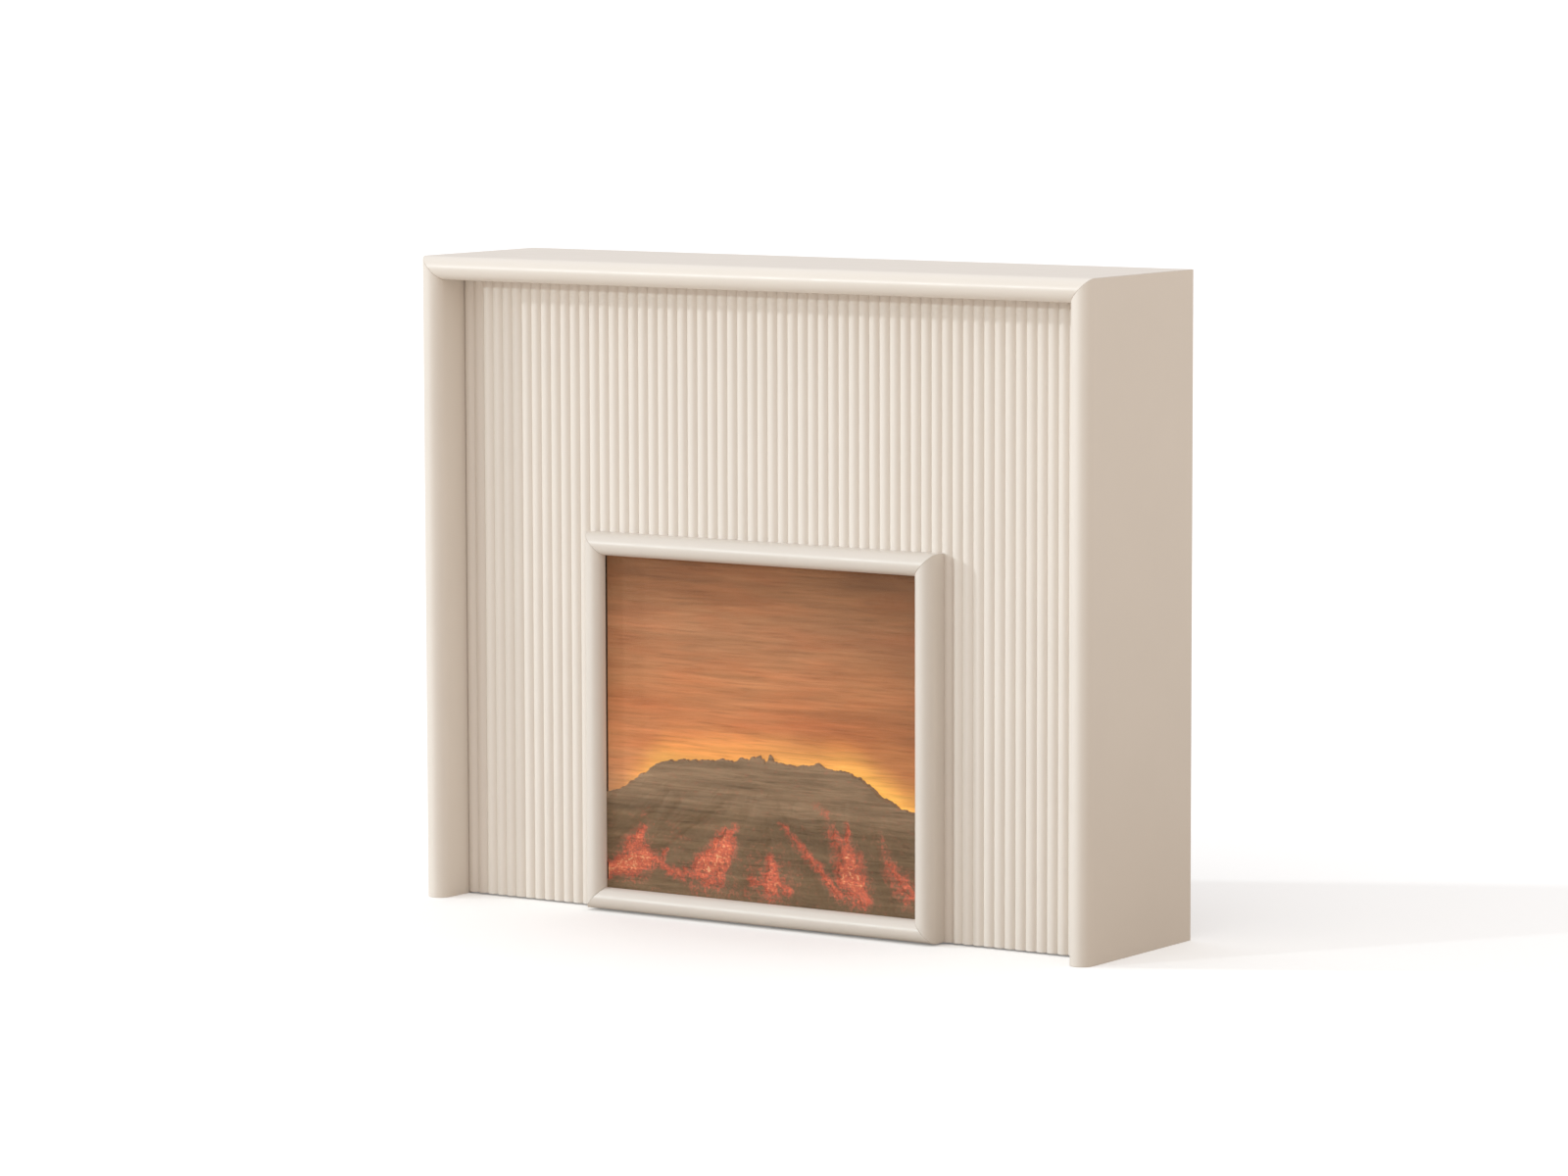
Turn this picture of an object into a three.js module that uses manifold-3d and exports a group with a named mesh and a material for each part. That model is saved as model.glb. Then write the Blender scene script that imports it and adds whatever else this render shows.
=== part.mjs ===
// Electric fireplace: a free-standing painted mantel with a fluted front, a half-round picture
// frame round the glass, and a flame-effect insert with a fan heater behind it.
// Millimetres, +Z up, front towards -Y. The origin is the middle of the footprint, on the floor.
import * as THREE from "three";
import { mergeVertices } from "three/addons/utils/BufferGeometryUtils.js";
import Module from "manifold-3d";

const wasm = await Module();
wasm.setup();

// ---- Driving dimensions ----
const GAP = 0.3; // clearance between neighbouring pieces
const WIDTH = 1000;
const DEPTH = 246;
const HEIGHT = 826;
const BOARD = 30; // thickness of the top and side boards, whose front edges are half round
const RECESS = 54; // from the boards' front edges back to the crowns of the flutes
const FLUTES = 62;
const FLUTE_RISE = 3.5; // crown above valley
const PANEL_THICKNESS = 17.5; // crown to back
const FRAME_WIDTH = 525;
const FRAME_TOP = 482;
const FRAME_BOTTOM = 2.5;
const MOULDING = 28; // width of a frame moulding, whose nose is half round
const FRAME_PROUD = 31.5; // nose of the frame in front of the flute crowns
const REBATE = 12; // width of the step that the glass and the insert sit in
const BATTEN = 18; // square section of the battens
const BASE_THICKNESS = 16;
const BACK_PANEL_THICKNESS = 4;
const BACK_PANEL_INSET = 7; // from the boards' back edges
const GLASS_THICKNESS = 4;
const GASKET_THICKNESS = 2.2;
const GASKET_WIDTH = 6;
const SHEET = 1.5; // steel sheet of the insert
const INSERT_BACK_Y = 95; // rear rim of the insert's shell
const NOSE_SEGMENTS = 6; // half of the facets on a half-round edge
const FLUTE_SEGMENTS = 3; // half of the facets on a flute
const ROUND_SIDES = 20;
const SMALL_ROUND_SIDES = 12;
const THROUGH = 60; // half length of a cutter that goes right through what it cuts
const LAP = 1; // how far solids that are joined reach into each other

// ---- Planes and edges that follow from them ----
const FRONT = -DEPTH / 2;
const BACK = DEPTH / 2;
const INNER_X = WIDTH / 2 - BOARD;
const INNER_TOP = HEIGHT - BOARD;
const CROWN_Y = FRONT + RECESS;
const PANEL_BACK_Y = CROWN_Y + PANEL_THICKNESS;
const FRAME_FRONT_Y = CROWN_Y - FRAME_PROUD;
const OPENING_X = FRAME_WIDTH / 2 - MOULDING;
const OPENING_BOTTOM = FRAME_BOTTOM + MOULDING;
const OPENING_TOP = FRAME_TOP - MOULDING;
const INSERT_X = OPENING_X + REBATE - GAP;
const INSERT_BOTTOM = OPENING_BOTTOM - REBATE + GAP;
const INSERT_TOP = OPENING_TOP + REBATE - GAP;
const GLASS_FRONT_Y = FRAME_FRONT_Y + MOULDING / 2 + GAP;
const GLASS_BACK_Y = GLASS_FRONT_Y + GLASS_THICKNESS;
const GASKET_BACK_Y = GLASS_BACK_Y + GAP + GASKET_THICKNESS;
const SHELL_FRONT_Y = GASKET_BACK_Y + GAP;
const CAVITY_X = INSERT_X - SHEET;
const CAVITY_BOTTOM = INSERT_BOTTOM + SHEET;
const CAVITY_TOP = INSERT_TOP - SHEET;
const BASE_TOP = FRAME_BOTTOM + BASE_THICKNESS;
const BATTEN_FRONT_Y = PANEL_BACK_Y + GAP;
const BACK_PANEL_Y = BACK - BACK_PANEL_INSET - BACK_PANEL_THICKNESS;
const FLANGE_Y = PANEL_BACK_Y + GAP;
const COVER_Y = INSERT_BACK_Y + GAP;
const COVER_OUTSIDE_Y = COVER_Y + SHEET;

// ---- Materials ----
const paint = (color, roughness, metalness = 0) =>
  new THREE.MeshStandardMaterial({ color, roughness, metalness });
const creamPaint = paint("#ece4da", 0.45);
const rawBoard = paint("#b99b74", 0.8);
const hardboard = paint("#7a5a3c", 0.75);
const clearGlass = paint("#dfe6e4", 0.05);
const blackSteel = paint("#1d1c1b", 0.5, 0.6);
const zincSteel = paint("#a9abab", 0.35, 0.9);
const blackPlastic = paint("#161616", 0.55);
const blackRubber = paint("#101010", 0.85);
const barkResin = paint("#6f604c", 0.85);
const emberResin = paint("#e2552f", 0.5);
const screenAcrylic = paint("#c77f4d", 0.4);
const circuitBoard = paint("#1e5a38", 0.45);
const mirrorFoil = paint("#d8d8d4", 0.12, 1);
const aluminium = paint("#c3c5c6", 0.4, 0.95);
const castHousing = paint("#3a3a3c", 0.45, 0.7);
const bronze = paint("#9a6b3a", 0.4, 0.8);

// ---- Solids ----
function toSolid(geometry) {
  const bare = geometry.index ? geometry.toNonIndexed() : geometry.clone();
  bare.deleteAttribute("normal");
  bare.deleteAttribute("uv");
  const merged = mergeVertices(bare, 1e-4);
  const vertProperties = merged.attributes.position.array;
  const triVerts = new Uint32Array(merged.index.array);
  return new wasm.Manifold(new wasm.Mesh({ numProp: 3, vertProperties, triVerts }));
}

function toGeometry(solid) {
  const mesh = solid.getMesh();
  const geometry = new THREE.BufferGeometry();
  geometry.setAttribute("position", new THREE.BufferAttribute(mesh.vertProperties, 3));
  geometry.setIndex(new THREE.BufferAttribute(mesh.triVerts, 1));
  return geometry;
}

function join(...geometries) {
  const [first, ...others] = geometries.map(toSolid);
  return toGeometry(others.reduce((whole, part) => whole.add(part), first));
}

function cut(geometry, ...cutters) {
  return toGeometry(cutters.map(toSolid).reduce((whole, c) => whole.subtract(c), toSolid(geometry)));
}

function keepInside(geometry, limits) {
  return toGeometry(toSolid(geometry).intersect(toSolid(limits)));
}

// ---- Basic shapes ----
function block([x0, x1], [y0, y1], [z0, z1]) {
  const box = new THREE.BoxGeometry(x1 - x0, y1 - y0, z1 - z0);
  return box.translate((x0 + x1) / 2, (y0 + y1) / 2, (z0 + z1) / 2);
}

// A rod along the X axis, from x0 to x1.
function rodX(radius, x0, x1, sides = SMALL_ROUND_SIDES) {
  const rod = new THREE.CylinderGeometry(radius, radius, x1 - x0, sides);
  return rod.rotateZ(Math.PI / 2).translate((x0 + x1) / 2, 0, 0);
}

// A rod along the Y axis, from y0 to y1.
function rodY(radius, y0, y1, sides = SMALL_ROUND_SIDES) {
  return new THREE.CylinderGeometry(radius, radius, y1 - y0, sides).translate(0, (y0 + y1) / 2, 0);
}

// A rod along the Z axis, from z0 to z1.
function rodZ(radius, z0, z1, sides = SMALL_ROUND_SIDES) {
  const rod = new THREE.CylinderGeometry(radius, radius, z1 - z0, sides);
  return rod.rotateX(Math.PI / 2).translate(0, 0, (z0 + z1) / 2);
}

// A shape drawn in Y and Z, carried along +X.
function alongX(shape, length, curveSegments = NOSE_SEGMENTS) {
  const solid = new THREE.ExtrudeGeometry(shape, { depth: length, bevelEnabled: false, curveSegments });
  const [x, y, z] = [new THREE.Vector3(1, 0, 0), new THREE.Vector3(0, 1, 0), new THREE.Vector3(0, 0, 1)];
  return solid.applyMatrix4(new THREE.Matrix4().makeBasis(y, z, x));
}

// A shape drawn in X and Z, carried from yBack forward, which is towards -Y.
function forwardFrom(shape, yBack, length) {
  const solid = new THREE.ExtrudeGeometry(shape, {
    depth: length,
    bevelEnabled: false,
    curveSegments: NOSE_SEGMENTS,
  });
  return solid.rotateX(Math.PI / 2).translate(0, yBack, 0);
}

function place(parent, name, geometry, material, x = 0, y = 0, z = 0) {
  const mesh = new THREE.Mesh(geometry, material);
  mesh.name = name;
  mesh.position.set(x, y, z);
  parent.add(mesh);
  return mesh;
}

// ---- Mitred bars: the mantel boards and the picture frame ----
// The section is drawn as depth (Y) and distance out from the inner edge (Z). The inner edge runs
// from the origin along +X, and a mitred end grows by the distance out, which makes 45 degrees.
function mitredBar(section, innerLength, mitreStart, mitreEnd) {
  const bar = alongX(section, 1);
  const corners = bar.attributes.position;
  for (let i = 0; i < corners.count; i++) {
    const out = corners.getZ(i);
    const start = mitreStart ? GAP - out : 0;
    const end = mitreEnd ? innerLength + out - GAP : innerLength;
    corners.setX(i, corners.getX(i) > 0.5 ? end : start);
  }
  return bar;
}

function boardSection() {
  const radius = BOARD / 2;
  const section = new THREE.Shape();
  section.moveTo(BACK, 0);
  section.lineTo(BACK, BOARD);
  section.lineTo(FRONT + radius, BOARD);
  section.absarc(FRONT + radius, radius, radius, Math.PI / 2, -Math.PI / 2, false);
  section.closePath();
  return section;
}

function mouldingSection() {
  const radius = MOULDING / 2;
  const legDepth = PANEL_BACK_Y - FRAME_FRONT_Y;
  const section = new THREE.Shape();
  section.moveTo(legDepth, REBATE);
  section.lineTo(legDepth, MOULDING);
  section.lineTo(radius, MOULDING);
  section.absarc(radius, radius, radius, Math.PI / 2, -Math.PI / 2, false);
  section.lineTo(radius, REBATE);
  section.closePath();
  return section;
}

function mantelBoards(parent) {
  const section = boardSection();
  const top = mitredBar(section, 2 * INNER_X, true, true);
  place(parent, "top_board", top, creamPaint, -INNER_X, 0, INNER_TOP);
  const right = mitredBar(section, INNER_TOP, true, false);
  place(parent, "side_board_right", right, creamPaint, INNER_X, 0, INNER_TOP).rotation.y = Math.PI / 2;
  const left = mitredBar(section, INNER_TOP, false, true);
  place(parent, "side_board_left", left, creamPaint, -INNER_X, 0, 0).rotation.y = -Math.PI / 2;
}

function pictureFrame(parent) {
  const frame = new THREE.Group();
  frame.position.y = FRAME_FRONT_Y;
  parent.add(frame);
  const section = mouldingSection();
  const across = 2 * OPENING_X;
  const up = OPENING_TOP - OPENING_BOTTOM;
  // Each moulding starts at one inner corner and turns about Y to run clockwise to the next.
  const bars = [
    ["frame_top_rail", across, -OPENING_X, OPENING_TOP, 0],
    ["frame_right_stile", up, OPENING_X, OPENING_TOP, Math.PI / 2],
    ["frame_bottom_rail", across, OPENING_X, OPENING_BOTTOM, Math.PI],
    ["frame_left_stile", up, -OPENING_X, OPENING_BOTTOM, -Math.PI / 2],
  ];
  for (const [name, length, x, z, turn] of bars) {
    place(frame, name, mitredBar(section, length, true, true), creamPaint, x, 0, z).rotation.y = turn;
  }
}

// ---- Cabinet ----
const INSERT_SCREW_X = 268;
const INSERT_SCREW_HEIGHTS = [130, 400];
const SCREW_SHANK = 1.8;
const SCREW_HOLE = 2.2;
const SCREW_HEAD = 3.6;
const SCREW_HEAD_HEIGHT = 2.2;
const WOOD_SCREW_LENGTH = 10;

// Convex flutes side by side, cut away round the picture frame.
function flutedPanel(parent) {
  const halfWidth = INNER_X - GAP;
  const pitch = (2 * halfWidth) / FLUTES;
  const radius = (FLUTE_RISE ** 2 + (pitch / 2) ** 2) / (2 * FLUTE_RISE);
  const halfAngle = Math.asin(pitch / 2 / radius);
  const centreY = CROWN_Y + radius;
  const section = new THREE.Shape();
  section.moveTo(-halfWidth, PANEL_BACK_Y);
  section.lineTo(halfWidth, PANEL_BACK_Y);
  section.lineTo(halfWidth, CROWN_Y + FLUTE_RISE);
  for (let i = 0; i < FLUTES; i++) {
    const centreX = halfWidth - (i + 0.5) * pitch;
    section.absarc(centreX, centreY, radius, halfAngle - Math.PI / 2, -halfAngle - Math.PI / 2, true);
  }
  section.closePath();
  const height = INNER_TOP - GAP - FRAME_BOTTOM;
  const sheet = new THREE.ExtrudeGeometry(section, {
    depth: height,
    bevelEnabled: false,
    curveSegments: FLUTE_SEGMENTS,
  });
  const frameHalf = FRAME_WIDTH / 2 + GAP;
  const cutOut = block([-frameHalf, frameHalf], [FRONT, BACK], [-HEIGHT, FRAME_TOP + GAP]);
  const pilotHoles = insertScrewPlaces().map(([x, z]) =>
    rodY(SCREW_HOLE, PANEL_BACK_Y - WOOD_SCREW_LENGTH - LAP, BACK).translate(x, 0, z),
  );
  const panel = cut(sheet.translate(0, 0, FRAME_BOTTOM), cutOut, ...pilotHoles);
  place(parent, "fluted_panel", panel, creamPaint);
}

function insertScrewPlaces() {
  return INSERT_SCREW_HEIGHTS.flatMap((z) => [-INSERT_SCREW_X, INSERT_SCREW_X].map((x) => [x, z]));
}

const SERVICE_OPENING_X = 222;
const SERVICE_OPENING_BOTTOM = 32;
const SERVICE_OPENING_TOP = 452;
const GLIDE_RADIUS = 15;
const GLIDE_HEIGHT = FRAME_BOTTOM - GAP;
const GLIDE_X = 200;
const GLIDE_YS = [-15, 85];

function cabinetParts(parent) {
  const fullX = [-INNER_X + GAP, INNER_X - GAP];
  const base = block(fullX, [BATTEN_FRONT_Y, BACK_PANEL_Y - GAP], [FRAME_BOTTOM, BASE_TOP]);
  place(parent, "base_board", base, rawBoard);

  const back = block(fullX, [0, BACK_PANEL_THICKNESS], [FRAME_BOTTOM, INNER_TOP - GAP]);
  const opening = block(
    [-SERVICE_OPENING_X, SERVICE_OPENING_X],
    [-THROUGH, THROUGH],
    [SERVICE_OPENING_BOTTOM, SERVICE_OPENING_TOP],
  );
  place(parent, "back_panel", cut(back, opening), hardboard, 0, BACK_PANEL_Y, 0);

  const uprightLength = INNER_TOP - BASE_TOP - 2 * GAP;
  const uprightX = INNER_X - GAP - BATTEN / 2;
  const frontY = BATTEN_FRONT_Y + BATTEN / 2;
  const rearY = BACK_PANEL_Y - GAP - BATTEN / 2;
  const uprights = [
    ["front_batten_left", -uprightX, frontY],
    ["front_batten_right", uprightX, frontY],
    ["rear_batten_left", -uprightX, rearY],
    ["rear_batten_right", uprightX, rearY],
  ];
  for (const [name, x, y] of uprights) {
    const upright = new THREE.BoxGeometry(BATTEN, BATTEN, uprightLength);
    place(parent, name, upright, rawBoard, x, y, BASE_TOP + GAP + uprightLength / 2);
  }
  const crossLength = 2 * (uprightX - BATTEN / 2 - GAP);
  const crossZ = INNER_TOP - GAP - BATTEN / 2;
  for (const [name, y] of [["top_batten_front", frontY], ["top_batten_rear", rearY]]) {
    place(parent, name, new THREE.BoxGeometry(crossLength, BATTEN, BATTEN), rawBoard, 0, y, crossZ);
  }

  for (const [row, y] of GLIDE_YS.entries()) {
    for (const [side, x] of [["left", -GLIDE_X], ["right", GLIDE_X]]) {
      const name = `floor_glide_${row ? "rear" : "front"}_${side}`;
      place(parent, name, rodZ(GLIDE_RADIUS, 0, GLIDE_HEIGHT, ROUND_SIDES), blackPlastic, x, y, 0);
    }
  }
}

// ---- Insert: glass, seal, shell and rear cover ----
const FLANGE_WIDTH = 30;
const REAR_RIM = 13;
const COVER_SCREW_X = INSERT_X - 8;
const COVER_SCREW_HEIGHTS = [INSERT_BOTTOM + 26, INSERT_TOP - 14];
const MACHINE_SCREW_LENGTH = 8;
const OUTLET_X = 124;
const OUTLET_BOTTOM = 382;
const OUTLET_TOP = 428;
const INTAKE_SLOT = [26, 5]; // width and height
const INTAKE_PITCH = [34, 12];
const INTAKE_COLUMNS = 9;
const INTAKE_ROWS = 4;
const INTAKE_BOTTOM = 190;
const SWITCHES = [
  { name: "power", x: 150 },
  { name: "heat", x: 105 },
];
const SWITCH_Z = 80;
const SWITCH_CUT = [14, 11]; // half width and half height of the hole in the cover
const GLAND_X = -150;
const GLAND_Z = 80;
const GLAND_HOLE = 8;

function pane(y0, y1, inset = 0) {
  const xs = [-INSERT_X + inset, INSERT_X - inset];
  return block(xs, [y0, y1], [INSERT_BOTTOM + inset, INSERT_TOP - inset]);
}

function coverScrewPlaces() {
  return COVER_SCREW_HEIGHTS.flatMap((z) => [-COVER_SCREW_X, COVER_SCREW_X].map((x) => [x, z]));
}

function insertCase(parent) {
  place(parent, "glass_pane", pane(GLASS_FRONT_Y, GLASS_BACK_Y), clearGlass);
  const gasket = cut(pane(GLASS_BACK_Y + GAP, GASKET_BACK_Y), pane(FRONT, BACK, GASKET_WIDTH));
  place(parent, "glass_gasket", gasket, blackRubber);

  const flangeX = INSERT_X + FLANGE_WIDTH;
  const flangeZs = [INSERT_BOTTOM, INSERT_TOP + FLANGE_WIDTH];
  const flange = block([-flangeX, flangeX], [FLANGE_Y, FLANGE_Y + SHEET], flangeZs);
  const body = join(pane(SHELL_FRONT_Y, INSERT_BACK_Y), flange);
  const coverHoles = coverScrewPlaces().map(([x, z]) => rodY(SCREW_HOLE, 0, BACK).translate(x, 0, z));
  const flangeHoles = insertScrewPlaces().map(([x, z]) => rodY(SCREW_HOLE, FRONT, 0).translate(x, 0, z));
  const shell = cut(
    body,
    pane(FRONT, INSERT_BACK_Y - SHEET, SHEET),
    pane(FRONT, BACK, REAR_RIM),
    ...coverHoles,
    ...flangeHoles,
  );
  place(parent, "firebox_shell", shell, blackSteel);

  const slots = [];
  for (let row = 0; row < INTAKE_ROWS; row++) {
    for (let column = 0; column < INTAKE_COLUMNS; column++) {
      const slot = new THREE.BoxGeometry(INTAKE_SLOT[0], BACK, INTAKE_SLOT[1]);
      const x = (column - (INTAKE_COLUMNS - 1) / 2) * INTAKE_PITCH[0];
      slots.push(slot.translate(x, COVER_Y, INTAKE_BOTTOM + row * INTAKE_PITCH[1]));
    }
  }
  const outlet = block([-OUTLET_X, OUTLET_X], [0, BACK], [OUTLET_BOTTOM, OUTLET_TOP]);
  const switchHoles = SWITCHES.map(({ x }) =>
    new THREE.BoxGeometry(2 * SWITCH_CUT[0], BACK, 2 * SWITCH_CUT[1]).translate(x, COVER_Y, SWITCH_Z),
  );
  const glandHole = rodY(GLAND_HOLE, 0, BACK, ROUND_SIDES).translate(GLAND_X, 0, GLAND_Z);
  const cover = cut(
    pane(COVER_Y, COVER_OUTSIDE_Y),
    outlet,
    glandHole,
    ...switchHoles,
    ...slots,
    ...coverHoles,
  );
  place(parent, "rear_cover", cover, blackSteel);
}

// A pan-headed screw with its head at the origin and its shank forward, towards -Y.
function screw(length) {
  const head = rodY(SCREW_HEAD, GAP, GAP + SCREW_HEAD_HEIGHT);
  return join(head, rodY(SCREW_SHANK, -length, GAP + SCREW_HEAD_HEIGHT / 2));
}

function screws(parent) {
  coverScrewPlaces().forEach(([x, z], i) => {
    place(parent, `cover_screw_${i + 1}`, screw(MACHINE_SCREW_LENGTH), zincSteel, x, COVER_OUTSIDE_Y, z);
  });
  insertScrewPlaces().forEach(([x, z], i) => {
    place(parent, `insert_screw_${i + 1}`, screw(WOOD_SCREW_LENGTH), zincSteel, x, FLANGE_Y + SHEET, z);
  });
}

// ---- Flame picture: logs in relief, glowing ember bed and flame screen ----
const LOG_FRONT_Y = SHELL_FRONT_Y;
const LOG_BACK_Y = LOG_FRONT_Y + 10;
const LOG_X = CAVITY_X - GAP;
const LOG_FOOT_Z = CAVITY_BOTTOM + GAP;
const CREST_BACKING = 4; // thickness of the plate behind the logs
const CREST_LOWER_Z = 132; // lower edge of that plate
const FOOT_BAR_TOP = 40;
const EMBER_FRONT_Y = LOG_BACK_Y + GAP;
const EMBER_THICKNESS = 4;
const EMBER_TOP = 146;
const SCREEN_THICKNESS = 3;

// Top edge of the log pile, from left to right, as X and Z.
const CREST = [
  [-192, 172],
  [-155, 197],
  [-70, 204],
  [5, 211],
  [113, 206],
  [163, 184],
  [205, 164],
];
// Logs that lean together: top end X and Z, foot X and Z, radius.
const LEANING_LOGS = [
  [-150, 150, -258, 92, 20],
  [-70, 165, -168, 96, 19],
  [-35, 135, -160, 22, 9],
  [5, 175, -55, 30, 17],
  [10, 170, 78, 30, 15],
  [45, 165, 122, 62, 13],
  [140, 180, 172, 30, 15],
  [150, 170, 250, 92, 18],
];

function logSet(parent) {
  const outline = new THREE.Shape();
  outline.moveTo(-LOG_X, CREST_LOWER_Z);
  outline.lineTo(-LOG_X, 150);
  outline.splineThru(CREST.map(([x, z]) => new THREE.Vector2(x, z)));
  outline.lineTo(LOG_X, 158);
  outline.lineTo(LOG_X, CREST_LOWER_Z);
  outline.closePath();
  const backing = forwardFrom(outline, LOG_BACK_Y, CREST_BACKING);
  const foot = block([-LOG_X, LOG_X], [LOG_BACK_Y - CREST_BACKING, LOG_BACK_Y], [LOG_FOOT_Z, FOOT_BAR_TOP]);
  const depth = LOG_BACK_Y - LOG_FRONT_Y;
  const logs = LEANING_LOGS.map(([topX, topZ, footX, footZ, radius]) => {
    const length = Math.hypot(topX - footX, topZ - footZ);
    const log = new THREE.CylinderGeometry(radius * 0.85, radius, length, SMALL_ROUND_SIDES);
    log.rotateX(Math.PI / 2).scale(1, depth / radius, 1);
    log.rotateY(Math.atan2(topX - footX, topZ - footZ));
    return log.translate((topX + footX) / 2, LOG_BACK_Y, (topZ + footZ) / 2);
  });
  const limits = block([-LOG_X, LOG_X], [LOG_FRONT_Y, LOG_BACK_Y], [LOG_FOOT_Z, CAVITY_TOP]);
  place(parent, "log_set", keepInside(join(backing, foot, ...logs), limits), barkResin);
}

function flamePicture(parent) {
  logSet(parent);
  const emberYs = [EMBER_FRONT_Y, EMBER_FRONT_Y + EMBER_THICKNESS];
  place(parent, "ember_bed", block([-LOG_X, LOG_X], emberYs, [LOG_FOOT_Z, EMBER_TOP]), emberResin);
  const screenYs = [EMBER_FRONT_Y, EMBER_FRONT_Y + SCREEN_THICKNESS];
  const screen = block([-LOG_X, LOG_X], screenYs, [EMBER_TOP + GAP, CAVITY_TOP - GAP]);
  place(parent, "flame_screen", screen, screenAcrylic);
}

// ---- Lights and the turning flame reflector ----
const BOARD_THICKNESS = 1.6;
const LED_SIZE = 5;
const POST_RADIUS = 3;
// The lamps below the reflector face up, and the lamps behind the embers face forward.
const FLAME_BOARD = { halfLength: 190, halfWidth: 12, y: 60, z: 30, lamps: 12, lampPitch: 30 };
const FLAME_BOARD_POSTS = [-170, 0, 170];
const EMBER_BOARD = { halfLength: 210, halfHeight: 30, behindEmbers: 13, z: 80, lamps: 14, lampPitch: 29 };
const EMBER_BOARD_LEGS = [-180, 180];
const LEG_HALF_WIDTH = 8;
const ROTOR_Y = 10;
const ROTOR_Z = 150;
const ROTOR_TAB_REACH = 22;
const ROTOR_TABS = 18;
const ROTOR_TAB_PITCH = 20;
const ROTOR_TAB_TWIST = THREE.MathUtils.degToRad(50);
const SPINDLE_RADIUS = 3;
const SPINDLE_LEFT = -217;
const SPINDLE_RIGHT = 208;
const BRACKET_LEFT_X = -212;
const BRACKET_RIGHT_X = 192;
const BRACKET_HALF_DEPTH = 16;
const BRACKET_ABOVE_SPINDLE = 20;
const BRACKET_FOOT = 24;
const ROTOR_TAB_SIZE = [15, 1.2]; // along the spindle and across the sheet
const ROTOR_TABS_SHIFT = -8; // towards the left bracket, clear of the motor
const ROTOR_MOTOR = { radius: 23, length: 18, earThickness: 2, earHalfWidth: 5, earReach: 30 };
const BUSH_RADIUS = 7;
const BUSH_LENGTH = 8;

function ledStrip(count, pitch) {
  const leds = [];
  for (let i = 0; i < count; i++) {
    const led = new THREE.BoxGeometry(LED_SIZE, LED_SIZE, 2 * BOARD_THICKNESS);
    leds.push(led.translate((i - (count - 1) / 2) * pitch, 0, BOARD_THICKNESS));
  }
  return leds;
}

function lightBoards(parent) {
  const { halfLength, halfWidth, y, z, lamps, lampPitch } = FLAME_BOARD;
  const strip = block([-halfLength, halfLength], [-halfWidth, halfWidth], [0, BOARD_THICKNESS]);
  const drop = z - CAVITY_BOTTOM - GAP;
  const posts = FLAME_BOARD_POSTS.map((x) => rodZ(POST_RADIUS, -drop, LAP).translate(x, 0, 0));
  const upward = join(strip, ...posts, ...ledStrip(lamps, lampPitch));
  place(parent, "flame_light_board", upward, circuitBoard, 0, y, z);

  const wide = EMBER_BOARD.halfLength;
  const high = EMBER_BOARD.halfHeight;
  const thick = [0, BOARD_THICKNESS];
  const face = block([-wide, wide], thick, [-high, high]);
  const legZs = [CAVITY_BOTTOM + GAP - EMBER_BOARD.z, LAP - high];
  const legs = EMBER_BOARD_LEGS.map((x) => block([x - LEG_HALF_WIDTH, x + LEG_HALF_WIDTH], thick, legZs));
  const leds = ledStrip(EMBER_BOARD.lamps, EMBER_BOARD.lampPitch).map((led) => led.rotateX(Math.PI / 2));
  const forward = join(face, ...legs, ...leds);
  const faceY = EMBER_FRONT_Y + EMBER_THICKNESS + EMBER_BOARD.behindEmbers;
  place(parent, "ember_light_board", forward, circuitBoard, 0, faceY, EMBER_BOARD.z);
}

// An upright sheet with a turned foot and a round hole at the spindle.
function spindleBracket(footSide, hole) {
  const drop = ROTOR_Z - CAVITY_BOTTOM - GAP;
  const depth = [-BRACKET_HALF_DEPTH, BRACKET_HALF_DEPTH];
  const upright = block([0, SHEET], depth, [-drop, BRACKET_ABOVE_SPINDLE]);
  const footXs = footSide < 0 ? [-BRACKET_FOOT, SHEET] : [0, BRACKET_FOOT];
  const foot = block(footXs, depth, [-drop, SHEET - drop]);
  return cut(join(upright, foot), rodX(hole, -THROUGH, THROUGH, ROUND_SIDES));
}

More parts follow.
